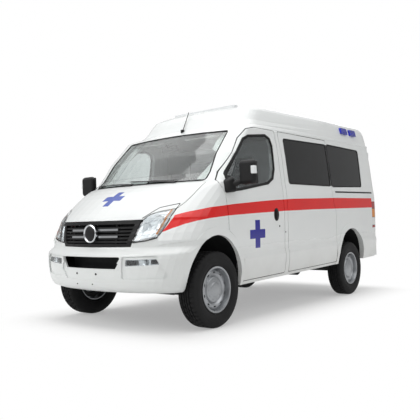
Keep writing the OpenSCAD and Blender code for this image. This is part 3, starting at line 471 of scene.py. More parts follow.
def enamel(name, cross=None):
    """White stoving enamel over steel: a clear, even gloss, a red band in the same film, and road film low down."""
    mat, shader = new_material(name)
    at = level_place(mat)
    x, y, z = at.outputs["X"], at.outputs["Y"], at.outputs["Z"]
    low = curve_of(mat, y, STRIPE_LOW, 0.8, 1.3)
    high = curve_of(mat, y, STRIPE_HIGH, 0.8, 1.3)
    above = node(mat, "Math", [z, low], operation="GREATER_THAN")
    below = node(mat, "Math", [z, high], operation="LESS_THAN")
    side = node(mat, "Math", [node(mat, "Math", [x], operation="ABSOLUTE"), 0.7], operation="GREATER_THAN")
    # the front end is cut on a slant behind the headlamp
    slant = node(mat, "Math", [y, node(mat, "Math", [z, 0.82, -2.955], operation="MULTIPLY_ADD")],
        operation="GREATER_THAN")
    rear = node(mat, "Math", [y, 2.2], operation="LESS_THAN")
    mask = node(mat, "Math", [node(mat, "Math", [above, below], operation="MULTIPLY"),
        node(mat, "Math", [side, slant], operation="MULTIPLY")], operation="MULTIPLY")
    mask = node(mat, "Math", [mask, rear], operation="MULTIPLY")
    outer = node(mat, "Math", [node(mat, "Math", [x], operation="ABSOLUTE"), 0.962], operation="GREATER_THAN")
    front = node(mat, "Math", [y, -1.4], operation="LESS_THAN")
    mask = node(mat, "Math", [mask, node(mat, "Math", [outer, front], operation="MAXIMUM")], operation="MULTIPLY")
    where = node(mat, "TexCoord")
    film = node(mat, "TexNoise", {"Vector": where.outputs["Object"], "Scale": 2.2, "Detail": 5.0, "Roughness": 0.6})
    height = node(mat, "MapRange", {"Value": z, "From Min": 0.36, "From Max": 0.8, "To Min": 0.55, "To Max": 0.0})
    dust = node(mat, "Math", [height.outputs["Result"], film.outputs["Fac"]], operation="MULTIPLY", use_clamp=True)
    white = node(mat, "Mix", {"Factor": film.outputs["Fac"], 6: srgb("#E9EBEA"), 7: srgb("#E2E5E5")}, data_type="RGBA")
    red = node(mat, "Mix", {"Factor": film.outputs["Fac"], 6: srgb("#E60A05"), 7: srgb("#D60806")}, data_type="RGBA")
    paint = node(mat, "Mix", {"Factor": mask, 6: white.outputs[2], 7: red.outputs[2]}, data_type="RGBA")
    tone = paint.outputs[2]
    if cross:
        tone = cross(mat, at, tone)
    road = node(mat, "Mix", {"Factor": dust, 6: tone, 7: srgb("#B9B6AE")}, data_type="RGBA")
    feed(mat, road.outputs[2], shader, "Base Color")
    rough = node(mat, "MapRange", {"Value": dust, "To Min": 0.26, "To Max": 0.62})
    feed(mat, rough.outputs["Result"], shader, "Roughness")
    # orange peel of sprayed paint, drawn at 6 mm so that it shows
    peel = node(mat, "TexNoise", {"Vector": where.outputs["Object"], "Scale": 160.0, "Detail": 1.0})
    relief = node(mat, "Bump", {"Height": peel.outputs["Fac"], "Strength": 0.035, "Distance": 0.001})
    feed(mat, relief.outputs["Normal"], shader, "Normal")
    shader.inputs["Coat Weight"].default_value = 0.12
    shader.inputs["Coat Roughness"].default_value = 0.08
    return mat


def plus_mask(mat, u, v, half, arm):
    """A plain plus sign: two bars that cross."""
    au, av = node(mat, "Math", [u], operation="ABSOLUTE"), node(mat, "Math", [v], operation="ABSOLUTE")
    one = node(mat, "Math", [node(mat, "Math", [au, arm], operation="LESS_THAN"),
        node(mat, "Math", [av, half], operation="LESS_THAN")], operation="MULTIPLY")
    two = node(mat, "Math", [node(mat, "Math", [au, half], operation="LESS_THAN"),
        node(mat, "Math", [av, arm], operation="LESS_THAN")], operation="MULTIPLY")
    return node(mat, "Math", [one, two], operation="MAXIMUM")


def door_cross(mat, at, tone):
    u = node(mat, "Math", [at.outputs["Y"], 0.972], operation="ADD")
    v = node(mat, "Math", [at.outputs["Z"], 0.856], operation="SUBTRACT")
    sign = plus_mask(mat, u, v, 0.146, 0.047)
    skin = node(mat, "Math", [node(mat, "Math", [at.outputs["X"]], operation="ABSOLUTE"), 0.962],
        operation="GREATER_THAN")
    sign = node(mat, "Math", [sign, skin], operation="MULTIPLY")
    return node(mat, "Mix", {"Factor": sign, 6: tone, 7: srgb("#0A068C")}, data_type="RGBA").outputs[2]


def bonnet_cross(mat, at, tone):
    u = node(mat, "Math", [at.outputs["X"], 0.0], operation="SUBTRACT")
    v = node(mat, "Math", [node(mat, "Math", [at.outputs["Y"], 2.06], operation="ADD"), 1.12], operation="MULTIPLY")
    sign = plus_mask(mat, u, v, 0.13, 0.042)
    return node(mat, "Mix", {"Factor": sign, 6: tone, 7: srgb("#1C42A4")}, data_type="RGBA").outputs[2]


def plain(name, base, low, high, scale=6.0, metallic=0.0, bump=0.0, bump_scale=400.0, coat=0.0, distance=0.001,
    shine=0.5):
    mat, shader = new_material(name)
    shader.inputs["Specular IOR Level"].default_value = shine
    dull_variation(mat, shader, base, low, high, scale, bump, bump_scale, distance)
    shader.inputs["Metallic"].default_value = metallic
    shader.inputs["Coat Weight"].default_value = coat
    return mat


def clear(name, tint, rough=0.0, ior=1.5):
    """Float glass: colourless or tinted in the mass, with a sharp reflection."""
    mat, shader = new_material(name)
    where = node(mat, "TexCoord")
    film = node(mat, "TexNoise", {"Vector": where.outputs["Object"], "Scale": 3.0, "Detail": 3.0})
    tone = node(mat, "Mix", {"Factor": film.outputs["Fac"], 6: srgb(tint[0]), 7: srgb(tint[1])}, data_type="RGBA")
    feed(mat, tone.outputs[2], shader, "Base Color")
    shader.inputs["Roughness"].default_value = rough
    shader.inputs["IOR"].default_value = ior
    shader.inputs["Transmission Weight"].default_value = 1.0
    return mat


WHITE = enamel("white_stoving_enamel")
WHITE_DOOR = enamel("white_enamel_door_sign", door_cross)
WHITE_BONNET = enamel("white_enamel_bonnet_sign", bonnet_cross)
# ABS bumper, painted in body colour but slightly flatter than the steel
BUMPER = plain("painted_abs_bumper", ("#E4E6E5", "#DCDFDE"), 0.28, 0.4, 2.5, bump=0.03, bump_scale=180, coat=0.1)
SCREEN = clear("laminated_screen_glass", ("#E8EEEC", "#E2E9E7"))
TINTED = clear("privacy_glass", ("#2B3033", "#23282B"))
DOOR_PANE = clear("tempered_door_glass", ("#D2D8D8", "#CAD0D0"))
LENS = clear("polycarbonate_lens", ("#F4F7F8", "#EEF2F4"), 0.01, ior=1.58)
REFLECTOR = plain("vapour_aluminised_bowl", ("#F2F4F5", "#E4E7E9"), 0.16, 0.28, 20, metallic=0.65, bump=0.2,
    bump_scale=90)
CHROME = plain("chromed_abs_trim", ("#D6D8DA", "#C6C9CC"), 0.06, 0.14, 8, metallic=1.0)
GRILLE = plain("glass_filled_black_nylon", ("#0C0C0D", "#070708"), 0.42, 0.55, 10, bump=0.15, bump_scale=600, shine=0.3)
# textured ABS: grain of about 1.5 mm, coarser than real so that it shows
BLACK = plain("grained_black_abs", ("#0E0E0F", "#09090A"), 0.5, 0.65, 12, bump=0.35, bump_scale=650, shine=0.3)
SATIN = plain("satin_black_steel", ("#0E0E10", "#08080A"), 0.4, 0.55, 9, bump=0.08, bump_scale=300, shine=0.3)
RUBBER = plain("epdm_rubber_seal", ("#0A0A0B", "#060607"), 0.6, 0.78, 14, bump=0.15, bump_scale=500, shine=0.3)
TYRE = plain("tyre_rubber_moulded", ("#151516", "#0D0D0E"), 0.66, 0.88, 9, bump=0.3, bump_scale=260, shine=0.3)
WHEEL = plain("silver_painted_wheel_steel", ("#A3A5A8", "#909396"), 0.32, 0.48, 8, metallic=0.85, bump=0.06,
    bump_scale=300, coat=0.3)
# aluminised steel, dulled by heat
PIPE = plain("dull_aluminised_steel", ("#8C8A86", "#6F6A64"), 0.4, 0.65, 7, metallic=0.8, bump=0.2, bump_scale=140)
CHASSIS = plain("chassis_black_wax", ("#1A1A1A", "#101010"), 0.6, 0.85, 5, bump=0.3, bump_scale=120)
CAST = plain("cast_iron_block", ("#3A3B3C", "#2B2C2D"), 0.6, 0.8, 12, metallic=0.6, bump=0.5, bump_scale=160)
RED = plain("red_acrylic_lens", ("#A8100E", "#8C0B0B"), 0.08, 0.16, 12, coat=0.8)
AMBER = plain("amber_acrylic_lens", ("#E08A18", "#CE7A12"), 0.1, 0.2, 12, coat=0.6)
MIRROR = plain("silvered_mirror_glass", ("#E6EAEC", "#DDE2E5"), 0.01, 0.02, 4, metallic=1.0)
FLOOR_SHEET = plain("grey_vinyl_floor_sheet", ("#A2A4A6", "#94979A"), 0.5, 0.7, 7, bump=0.4, bump_scale=220)


def tail_segments():
    """Red acrylic with an amber direction segment and a clear reversing one, parted by dark joints."""
    mat, shader = new_material("tail_lamp_acrylic")
    z = level_place(mat).outputs["Z"]
    tone = srgb("#A00F0D")
    for low, high, colour in ((0.955, 1.075, "#DB8416"), (0.835, 0.947, "#E9EAE8")):
        there = node(mat, "Math", [node(mat, "Math", [z, low], operation="GREATER_THAN"),
            node(mat, "Math", [z, high], operation="LESS_THAN")], operation="MULTIPLY")
        tone = node(mat, "Mix", {"Factor": there, 6: tone, 7: srgb(colour)}, data_type="RGBA").outputs[2]
    for joint in (0.951, 1.079, 0.831):
        near = node(mat, "Math", [node(mat, "Math", [node(mat, "Math", [z, joint], operation="SUBTRACT")],
            operation="ABSOLUTE"), 0.004], operation="LESS_THAN")
        tone = node(mat, "Mix", {"Factor": near, 6: tone, 7: srgb("#1A0707")}, data_type="RGBA").outputs[2]
    feed(mat, tone, shader, "Base Color")
    prisms = node(mat, "TexWave", {"Vector": node(mat, "TexCoord").outputs["Object"], "Scale": 30.0},
        bands_direction="Z")
    relief = node(mat, "Bump", {"Height": prisms.outputs["Fac"], "Strength": 0.25, "Distance": 0.001})
    feed(mat, relief.outputs["Normal"], shader, "Normal")
    shader.inputs["Roughness"].default_value = 0.12
    shader.inputs["Coat Weight"].default_value = 0.6
    return mat


def ribbed_blue():
    """Blue acrylic domes with upright ribs, 12 mm apart; each rib is painted lighter blue along its crest, a painted
    highlight.
    """
    mat, shader = new_material("ribbed_blue_acrylic")
    where = node(mat, "TexCoord").outputs["Object"]
    ribs_and_highlights = node(mat, "TexWave", {"Vector": where, "Scale": 26.0}, bands_direction="Y")
    # the lighter blue on each rib's crest is a painted highlight
    tone = node(mat, "Mix", {"Factor": ribs_and_highlights.outputs["Fac"], 6: srgb("#080D6E"), 7: srgb("#1726C4")}, data_type="RGBA")
    feed(mat, tone.outputs[2], shader, "Base Color")
    relief = node(mat, "Bump", {"Height": ribs_and_highlights.outputs["Fac"], "Strength": 0.5, "Distance": 0.003})
    feed(mat, relief.outputs["Normal"], shader, "Normal")
    shader.inputs["Roughness"].default_value = 0.15
    shader.inputs["Coat Weight"].default_value = 0.4
    return mat


TAIL = tail_segments()
RIBBED = ribbed_blue()
CLEAR_LAMP = plain("clear_acrylic_over_white", ("#F1F3F3", "#E6E9EA"), 0.1, 0.2, 14, coat=0.5)
# white ABS roof unit
CAP = plain("white_abs_roof_cap", ("#E6E8E8", "#DADDDE"), 0.35, 0.5, 6, bump=0.12, bump_scale=300)
LINING = plain("pale_grey_headlining", ("#B9BAB8", "#ABACAA"), 0.8, 0.95, 9, bump=0.4, bump_scale=350)
DASH = plain("grained_grey_dash_abs", ("#66686B", "#5A5C5F"), 0.55, 0.7, 9, bump=0.4, bump_scale=500)


def seat_cloth():
    """Woven seat cloth: a plain weave of dark grey threads, drawn at 3 mm so that it shows."""
    mat, shader = new_material("woven_seat_cloth")
    where = node(mat, "TexCoord")
    warp = node(mat, "TexWave", {"Vector": where.outputs["Object"], "Scale": 105.0, "Distortion": 0.6},
        bands_direction="X")
    weft = node(mat, "TexWave", {"Vector": where.outputs["Object"], "Scale": 105.0, "Distortion": 0.6},
        bands_direction="Z")
    weave = node(mat, "Math", [warp.outputs["Fac"], weft.outputs["Fac"]], operation="MULTIPLY")
    tone = node(mat, "Mix", {"Factor": weave, 6: srgb("#34373D"), 7: srgb("#52565E")}, data_type="RGBA")
    feed(mat, tone.outputs[2], shader, "Base Color")
    relief = node(mat, "Bump", {"Height": weave, "Strength": 0.5, "Distance": 0.001})
    feed(mat, relief.outputs["Normal"], shader, "Normal")
    shader.inputs["Roughness"].default_value = 0.9
    shader.inputs["Sheen Weight"].default_value = 0.3
    return mat


CLOTH = seat_cloth()


def paint_node(name, material, smooth=32):
    obj = NODES[name]
    obj.data.materials.clear()
    obj.data.materials.append(material)
    soft_shade(obj, smooth)


FINISHES = ((WHITE, "side_walls roof cab_frame front_wings sliding_doors rear_door_left rear_door_right"),
    (WHITE_DOOR, "front_door_left front_door_right"), (WHITE_BONNET, "bonnet"), (BUMPER, "front_bumper rear_bumper"),
    (SCREEN, "windscreen"), (TINTED, "side_glass rear_glass_left rear_glass_right"),
    (DOOR_PANE, "door_glass_left door_glass_right"), (LENS, "front_lamps"), (REFLECTOR, "lamp_housings"),
    (TAIL, "tail_lamps"), (RIBBED, "beacons"), (CAP, "light_bar"), (GRILLE, "grille"), (CHROME, "grille_trim"),
    (BLACK, "mirror_left mirror_right wipers antenna steering_wheel"), (DASH, "dashboard"), (RUBBER, "wheel_liners"),
    (CHASSIS, "chassis rear_axle knuckle_left knuckle_right"), (CAST, "engine"), (PIPE, "exhaust"),
    (FLOOR_SHEET, "floor"))
for finish, names in FINISHES:
    for name in names.split():
        paint_node(name, finish)
for name, _, _ in WHEELS:
    paint_node("rim_" + name, WHEEL, 28)
    paint_node("tyre_" + name, TYRE, 28)


# ---------- window rubbers ----------

DOOR_WINDOW = [(-1.472, 1.308), (-1.424, 1.462), (-1.244, 1.668), (-1.068, 1.846), (-0.98, 1.884), (-0.64, 1.92),
    (-0.56, 1.888), (-0.532, 1.815), (-0.548, 1.56), (-0.598, 1.455), (-0.705, 1.402), (-1.245, 1.328)]
SLIDE_WINDOW = [(-0.206, 1.432), (-0.218, 1.893), (0.822, 1.909), (0.822, 1.424)]
REAR_WINDOW = [(0.926, 1.424), (0.926, 1.909), (1.878, 1.896), (1.846, 1.44)]
REAR_GLASS = [(0.16, 1.45), (0.16, 1.9), (0.69, 1.9), (0.735, 1.45)]
SCREEN_LINE = [(0, 1.436), (0.4, 1.438), (0.766, 1.44), (0.708, 1.936), (0.4, 1.944), (0, 1.948), (-0.4, 1.944),
    (-0.708, 1.936), (-0.766, 1.44), (-0.4, 1.438)]


def side_band(name, points, r, rows, body):
    pair(band(name + "_left", points, [(r + a, b) for a, b in rows], on_side), RUBBER, body)


SEAL = [(0.006, -0.001), (0.005, 0.004), (0.0, 0.006), (-0.02, 0.006), (-0.024, 0.002), (-0.024, -0.004)]
THIN_SEAL = [(0.004, -0.001), (0.003, 0.0025), (0.0, 0.003), (-0.012, 0.003), (-0.014, -0.004)]
side_band("door_window_rubber", DOOR_WINDOW, 0.016, SEAL, FRONT_DOORS)
side_band("slide_window_rubber", SLIDE_WINDOW, 0.034, THIN_SEAL, ("body", "body"))
side_band("rear_window_rubber", REAR_WINDOW, 0.042, THIN_SEAL, ("body", "body"))
pair(band("rear_glass_rubber_left", REAR_GLASS, [(0.045 + a, b) for a, b in THIN_SEAL], on_rear), RUBBER,
    REAR_DOORS)
frit = band("screen_rubber", SCREEN_LINE, [(0.026 + a, b) for a, b in ((0.007, -0.001), (0.006, 0.003), (0.0, 0.004),
    (-0.01, 0.002), (-0.012, -0.003))], on_front)
done(frit, RUBBER)


# ---------- dark seals in the shut lines, which also paint the gaps' shade ---

def arch_arc(radius, start, stop, steps=8):
    return [(-1.677 + radius * math.cos(math.radians(start + (stop - start) * i / steps)),
        0.514 + radius * math.sin(math.radians(start + (stop - start) * i / steps))) for i in range(steps + 1)]


DOOR_SEAM = ([(-1.222, 0.42), (-1.218, 0.5)] + arch_arc(0.467, 2, 61) + [(-1.457, 1.000), (-1.466, 1.113),
    (-1.495, 1.29), (-1.534, 1.376), (-1.33, 1.594), (-1.1, 1.846), (-0.97, 1.948), (-0.84, 1.974),
    (-0.457, 1.974), (-0.437, 1.8), (-0.437, 1.3), (-0.437, 0.42)])
SLIDE_SEAM = [(-0.306, 0.42), (-0.306, 1.7), (-0.33, 1.974), (0.846, 1.974), (0.846, 1.3), (0.858, 1.18),
    (0.921, 1.046), (0.921, 0.42)]
REAR_SEAM = [(0.0375, 0.56), (0.0375, 2.09), (0.74, 2.09), (0.8, 1.9), (0.84, 1.35), (0.84, 0.62),
    (0.81, 0.56)]
# rubber bands just under the mouth of each gap: seals stand there, and their black also paints the shade inside the
# shut lines
IN_GAP = [(-0.0052, -0.0045), (0.0, -0.006), (0.0052, -0.0045)]
GAP_SEAL_AND_SHADE = [(0.0035 + a, b) for a, b in IN_GAP]
pair(band("front_door_seal_and_shade", DOOR_SEAM, [(0.022 + a, b) for a, b in GAP_SEAL_AND_SHADE], on_side), RUBBER)
pair(band("sliding_door_seal_and_shade", SLIDE_SEAM, [(0.022 + a, b) for a, b in GAP_SEAL_AND_SHADE], on_side), RUBBER)
pair(band("rear_door_seal_and_shade", REAR_SEAM, [(0.03 + a, b) for a, b in GAP_SEAL_AND_SHADE], on_rear), RUBBER)
BONNET_SIDE = [(0.608, -2.13), (0.63, -2.103), (0.669, -2.063), (0.738, -2.003), (0.793, -1.95), (0.821, -1.842),
    (0.835, -1.712), (0.84, -1.587), (0.842, -1.48)]
pair(strip("bonnet_seal_and_shade", [(x + 0.0085, y) for x, y in BONNET_SIDE], IN_GAP, on_bonnet), RUBBER)
COWL = [(0.07 * i, -1.808 + 0.0035 + 0.24 * (0.07 * i) ** 2) for i in range(12)]
pair(strip("cowl_seal_and_shade", COWL, [(-0.006, -0.007), (0.0, -0.009), (0.006, -0.007)], on_top), RUBBER)

# black film between the side panes, on the sliding door's edge and on the wall
FILM = [(-0.0065, -0.0004), (-0.0055, 0.0012), (0.0055, 0.0012), (0.0065, -0.0004)]
pair(strip("pane_film_front", [(0.8585, 1.395), (0.8585, 1.94)], FILM, on_side), BLACK)
pair(strip("pane_film_rear", [(0.8775, 1.395), (0.8775, 1.94)], FILM, on_side), BLACK)
# groove of the sliding door's rail, drawn as a black strip laid on the skin: its black is the rail's own and painted
# shade of the recessed groove
RAIL_AND_GROOVE_SHADE = [(-0.011, -0.0005), (-0.0095, 0.0016), (-0.006, 0.0016), (-0.005, 0.0004), (0.005, 0.0004), (0.006, 0.0016),
    (0.0095, 0.0016), (0.011, -0.0005)]
pair(strip("sliding_door_rail_and_groove_shade", [(0.965, 1.316), (2.232, 1.316)], RAIL_AND_GROOVE_SHADE, on_side), SATIN)


# ---------- wheels ----------

def tyre(name, place, side):
    """Carcass with moulded sidewall rings and four grooves; the shoulder lugs are pressed in between."""
    half = [(0.2065, 0.077), (0.22, 0.086), (0.224, 0.092), (0.229, 0.095), (0.233, 0.095),
        (0.236, 0.093), (0.25, 0.101), (0.276, 0.1066), (0.29, 0.107), (0.297, 0.1062), (0.299, 0.1072),
        (0.303, 0.1072), (0.305, 0.1055), (0.32, 0.104), (0.334, 0.099), (0.342, 0.0965), (0.353, 0.089),
        (0.3605, 0.078), (0.3636, 0.064), (0.364, 0.05), (0.356, 0.048), (0.356, 0.04), (0.364, 0.038),
        (0.364, 0.018), (0.356, 0.016), (0.356, 0.008), (0.364, 0.006)]
    profile = [(0.2065, -0.077)] + [(r, -h) for r, h in half[1:]] + [(r, h) for r, h in half[::-1]]
    obj = turned(name, profile, (0, 0, 0), (0, 0, 1), 144)
    pick(obj)
    bpy.ops.object.mode_set(mode="EDIT")
    bpy.ops.mesh.select_mode(type="FACE")
    bpy.ops.mesh.select_all(action="DESELECT")
    bpy.ops.object.mode_set(mode="OBJECT")
    for f in obj.data.polygons:
        c = f.center
        k = int(math.degrees(math.atan2(c.y, c.x)) % 360 / 2.5)
        reach = math.hypot(c.x, c.y)
        shoulder = 0.0495 < abs(c.z) < 0.09 and reach > 0.355
        middle = 0.006 < abs(c.z) < 0.038 and reach > 0.362
        shift = 1 if c.z > 0 else 0
        f.select = (shoulder and (k + shift) % 3 == 0) or (middle and (k + 2 * shift) % 4 == 0)
    bpy.ops.object.mode_set(mode="EDIT")
    bpy.ops.mesh.extrude_region_shrink_fatten(TRANSFORM_OT_shrink_fatten={"value": -0.005})
    bpy.ops.mesh.select_all(action="SELECT")
    bpy.ops.mesh.normals_make_consistent(inside=False)
    bpy.ops.object.mode_set(mode="OBJECT")
    turn = Matrix.Rotation(math.radians(90 * side), 4, "Y")
    settle(obj, Matrix.Translation(place) @ turn)
    soft_shade(obj, 28)
    return obj


for name, place, side in WHEELS:
    t = tyre("tread_tyre_" + name, place, side)
    done(t, TYRE, "wheel_" + name)
    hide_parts("tyre_" + name)


# ---------- headlamps ----------

def lamp_inside():
    """Reflector bowls and bulb shields behind the lens."""
    made = []
    for label, x, z, r in (("low", 0.6, 0.965, 0.052), ("high", 0.7, 1.04, 0.04)):
        skin = on_front(x, z)
        centre = skin + Vector((-0.008, 0.022, 0))
        aim = Vector((0.3, -1, 0.06)).normalized()
        bowl = turned("headlamp_bowl_" + label, [(0.008, -0.04), (r * 0.45, -0.032), (r * 0.8, -0.014), (r, 0.0),
            (r + 0.005, 0.001), (r + 0.006, -0.004), (r * 0.8, -0.02), (0.01, -0.044), (0.008, -0.04)], centre,
            aim, 48)
        bulb = turned("headlamp_bulb_" + label, [(0.0001, 0.012), (0.006, 0.01), (0.01, 0.002), (0.01, -0.02),
            (0.0001, -0.03)], centre - aim * 0.012, aim, 24)
        made.append((bowl, REFLECTOR, "reflector"))
        made.append((bulb, CHROME, "bright_trim"))
    return made


for obj, mat, slot in lamp_inside():
    pair(on_body(obj, 40), mat)


def lens_plate(name, path, half, lift):
    """A curved plate behind a lens, rounded over at its edges."""
    rows = [(-half, lift - 0.004), (-half * 0.93, lift), (0, lift + 0.001), (half * 0.93, lift), (half, lift - 0.004)]
    return strip(name, path, rows, on_front, 0.01)


def lamp_shell(name, points, rows, lay):
    """A facetted bowl behind a lens: rings that shrink towards the middle; rows are (size, lift)."""
    n = 6 * len(points)
    ring = []
    for i in range(len(points)):
        a, b = Vector(points[i]), Vector(points[(i + 1) % len(points)])
        ring += [a.lerp(b, k / 6) for k in range(6)]
    middle = sum(ring, Vector((0, 0))) / n
    verts = [lay(*(middle + (p - middle) * size), lift) for size, lift in rows for p in ring]
    for i, v in enumerate(verts):
        if v is None:
            verts[i] = next(w for w in verts[i:] + verts[:i] if w is not None)
    faces = [(r * n + i, r * n + (i + 1) % n, (r + 1) * n + (i + 1) % n,
        (r + 1) * n + i) for r in range(len(rows) - 1) for i in range(n)]
    faces.append(tuple((len(rows) - 1) * n + i for i in range(n)))
    obj = new_mesh(name, verts, faces)
    on_body(obj)
    outward(obj)
    sheet = obj.modifiers.new("sheet", "SOLIDIFY")
    sheet.thickness = 0.0015
    sheet.offset = 0
    apply_all(obj)
    return obj


HEAD = [(0.5, 0.852), (0.566, 1.062), (0.655, 1.15), (0.786, 1.18), (0.786, 1.11), (0.776, 1.03),
    (0.75, 0.94), (0.724, 0.89), (0.629, 0.868)]
bezel = band("headlamp_seal_left", HEAD, [(0.0125, -0.003), (0.012, 0.001), (0.0085, 0.0018), (0.0045, 0.0006),
    (0.004, -0.002)], on_front)
pair(lamp_shell("headlamp_inner_shell", HEAD, [(0.97, -0.006), (0.955, -0.012), (0.93, -0.016), (0.9, -0.02),
    (0.7, -0.028), (0.66, -0.024), (0.45, -0.03), (0.4, -0.026)], on_front), REFLECTOR)
pair(lens_plate("headlamp_turn_reflector", [(0.714, 0.915), (0.736, 0.985), (0.752, 1.06), (0.762, 1.13)], 0.008,
    -0.0075), AMBER)
pair(bezel, RUBBER)


# ---------- door handles --------------------

def oval_ring(name, y, z, ry, rz, rows, lay, steps=40):
    verts, faces = [], []
    for k in range(steps):
        a = math.tau * k / steps
        for scale, lift in rows:
            verts.append(lay(y + ry * scale * math.cos(a), z + rz * scale * math.sin(a), lift))
    m = len(rows)
    for k in range(steps):
        for j in range(m - 1):
            a, b = k * m + j, ((k + 1) % steps) * m + j
            faces.append((a, b, b + 1, a + 1))
    faces += [tuple(k * m + m - 1 for k in range(steps)), tuple(k * m for k in range(steps))]
    return laid(name, verts, faces)


def grip(name, y, z, out):
    """The pull of a flush handle: an upright bar with rounded ends."""
    base = on_side(y, z)
    bar = block(name, (base.x - 0.004, y - 0.012, z - 0.05), (base.x + out, y + 0.012, z + 0.05), 0.006, 3)
    on_body(bar, 35)
    return bar


plate = oval_ring("front_door_handle_plate_left", -0.586, 1.05, 0.05, 0.071,
    [(1.0, -0.001), (0.99, 0.004), (0.93, 0.006), (0.8, 0.0045), (0.74, 0.001)], on_side)
pair(plate, BLACK, FRONT_DOORS)
pull = grip("front_door_pull_left", -0.59, 1.05, 0.012)
pair(pull, BLACK, FRONT_DOORS)


# ---------- grille badge: a chrome ring round a plain dome ----------

BADGE = mm(0, -2372, 934)
ring = turned("badge_ring", [(0.069, -0.002), (0.0875, -0.002), (0.0885, 0.005), (0.085, 0.0115), (0.0795, 0.0135),
    (0.074, 0.011), (0.0705, 0.0045), (0.069, -0.002)], BADGE, (0, -1, 0), 72)
dome = turned("badge_dome", [(0.0001, 0.0155), (0.02, 0.0152), (0.045, 0.0132), (0.06, 0.0105), (0.07, 0.006),
    (0.07, 0.002), (0.0001, 0.002), (0.0001, 0.0155)], BADGE, (0, -1, 0), 72)
for piece, mat, slot in ((ring, CHROME, "bright_trim"), (dome, SATIN, "black_plastic")):
    on_body(piece, 40)
    done(piece, mat)

# plate bolts in the bare recess, and the round cover over the towing thread
bolts = []
for k, (x, z) in enumerate(((-0.17, 0.557), (0.106, 0.558), (-0.16, 0.459), (0.065, 0.463))):
    at = on_front(x, z)
    r = 0.01 if z > 0.5 else 0.006
    bolts.append(turned("bolt%d" % k, [(0.0001, 0.006), (r * 0.45, 0.006), (r * 0.5, 0.004), (r * 0.7, 0.0055),
        (r * 0.9, 0.004), (r, 0.0), (r * 1.25, -0.001), (r * 1.25, -0.004), (0.0001, -0.004)], at, (0, -1, 0), 18))
bolts = joined("plate_bolts", bolts)
on_body(bolts)
done(bolts, SATIN)


# ---------- fog lamps ----------

pair(lens_plate("fog_lamp_mask_inner", [(0.474, 0.662), (0.556, 0.664)], 0.024, -0.009), SATIN)
pair(lens_plate("fog_lamp_mask_outer", [(0.705, 0.674), (0.758, 0.677)], 0.02, -0.009), SATIN)
at = on_front(0.63, 0.668) + Vector((0.0, 0.014, 0))
bowl = turned("fog_lamp_bowl", [(0.0001, -0.012), (0.012, -0.011), (0.022, -0.006), (0.0275, 0.0), (0.029, 0.0),
    (0.029, -0.004), (0.0001, -0.016)], at, (0.1, -1, 0), 40)
on_body(bowl, 40)
pair(bowl, REFLECTOR)


# ---------- door mirrors ----------

pair(on_body(shaped_block("mirror_bezel", [mm(1088, -1362, 1364), mm(1262, -1366, 1364), mm(1262, -1344, 1364),
    mm(1088, -1339, 1364), mm(1088, -1362, 1582), mm(1258, -1366, 1578), mm(1258, -1344, 1578),
    mm(1088, -1339, 1582)], 0.012)), BLACK, FRONT_DOORS)
pair(on_body(shaped_block("mirror_glass", [mm(1099, -1352, 1376), mm(1249, -1356, 1376), mm(1249, -1341, 1376),
    mm(1099, -1336.5, 1376), mm(1099, -1352, 1570), mm(1246, -1356, 1566), mm(1246, -1341, 1566),
    mm(1099, -1336.5, 1570)], 0.0035)), MIRROR, FRONT_DOORS)
pair(on_body(shaped_block("mirror_indicator", [mm(1238, -1441, 1452), mm(1271, -1424, 1452), mm(1277, -1386, 1452),
    mm(1250, -1386, 1452), mm(1238, -1441, 1528), mm(1268, -1424, 1530), mm(1274, -1386, 1530),
    mm(1250, -1386, 1528)], 0.006)), CLEAR_LAMP, FRONT_DOORS)
pair(on_body(shaped_block("mirror_foot_cover", [mm(948, -1532, 1278), mm(1026, -1508, 1274), mm(1056, -1392, 1290),
    mm(955, -1347, 1298), mm(938, -1526, 1388), mm(996, -1492, 1420), mm(1030, -1400, 1436), mm(942, -1376, 1468)],
    0.03, 4)), BLACK, FRONT_DOORS)


# ---------- roof units and beacons ----------

def roof_unit(name, x, y1, y2, height, material):
    """A low cover bedded on the roof, with its edges drawn down to the sheet."""
    z = [on_top(sx * x, yy).z - 0.004 for yy in (y1, y2) for sx in (-1, 1)]
    zc = on_top(0, (y1 + y2) / 2).z
    low = [(-x, y1, z[0]), (x, y1, z[1]), (x, y2, z[3]), (-x, y2, z[2])]
    top = [(-x * 0.94, y1 + 0.03, zc + height), (x * 0.94, y1 + 0.03, zc + height),
        (x * 0.94, y2 - 0.03, zc + height), (-x * 0.94, y2 - 0.03, zc + height)]
    unit = shaped_block(name, low + top, 0.012, 4)
    on_body(unit)
    return done(unit, material)


roof_unit("roof_air_unit", 0.6, 0.24, 0.86, 0.022, CAP)
roof_unit("roof_vent_cover", 0.4, 1.455, 1.815, 0.02, CAP)
for k, y in enumerate((1.54, 1.84)):
    frame_line = [(y - 0.084, 2.16), (y - 0.084, 2.222), (y + 0.084, 2.222), (y + 0.084, 2.16)]
    pair(band("beacon_bezel_%d" % (k + 1), frame_line, [(0.01, -0.001), (0.009, 0.007), (0.004, 0.009), (0.0, 0.008),
        (-0.001, 0.001)], on_side, 0.02), SATIN)


# ---------- locks, wheel nuts and valves ----------

def small_stud(name, at, way, r, height, steps=24):
    return turned(name, [(0.0001, height), (r * 0.6, height), (r * 0.85, height * 0.8), (r, height * 0.4),
        (r * 1.1, 0.0), (r * 1.1, -0.003), (0.0001, -0.003)], at, way, steps)


for k, (y, z, r) in enumerate(((-0.523, 0.921, 0.01), (-0.392, 0.85, 0.008))):
    stud = settle(small_stud("door_lock_%d" % (k + 1), on_side(y, z), (1, 0, 0), r, 0.004), BODY)
    pair(stud, SATIN, FRONT_DOORS if k == 0 else ("body", "body"))

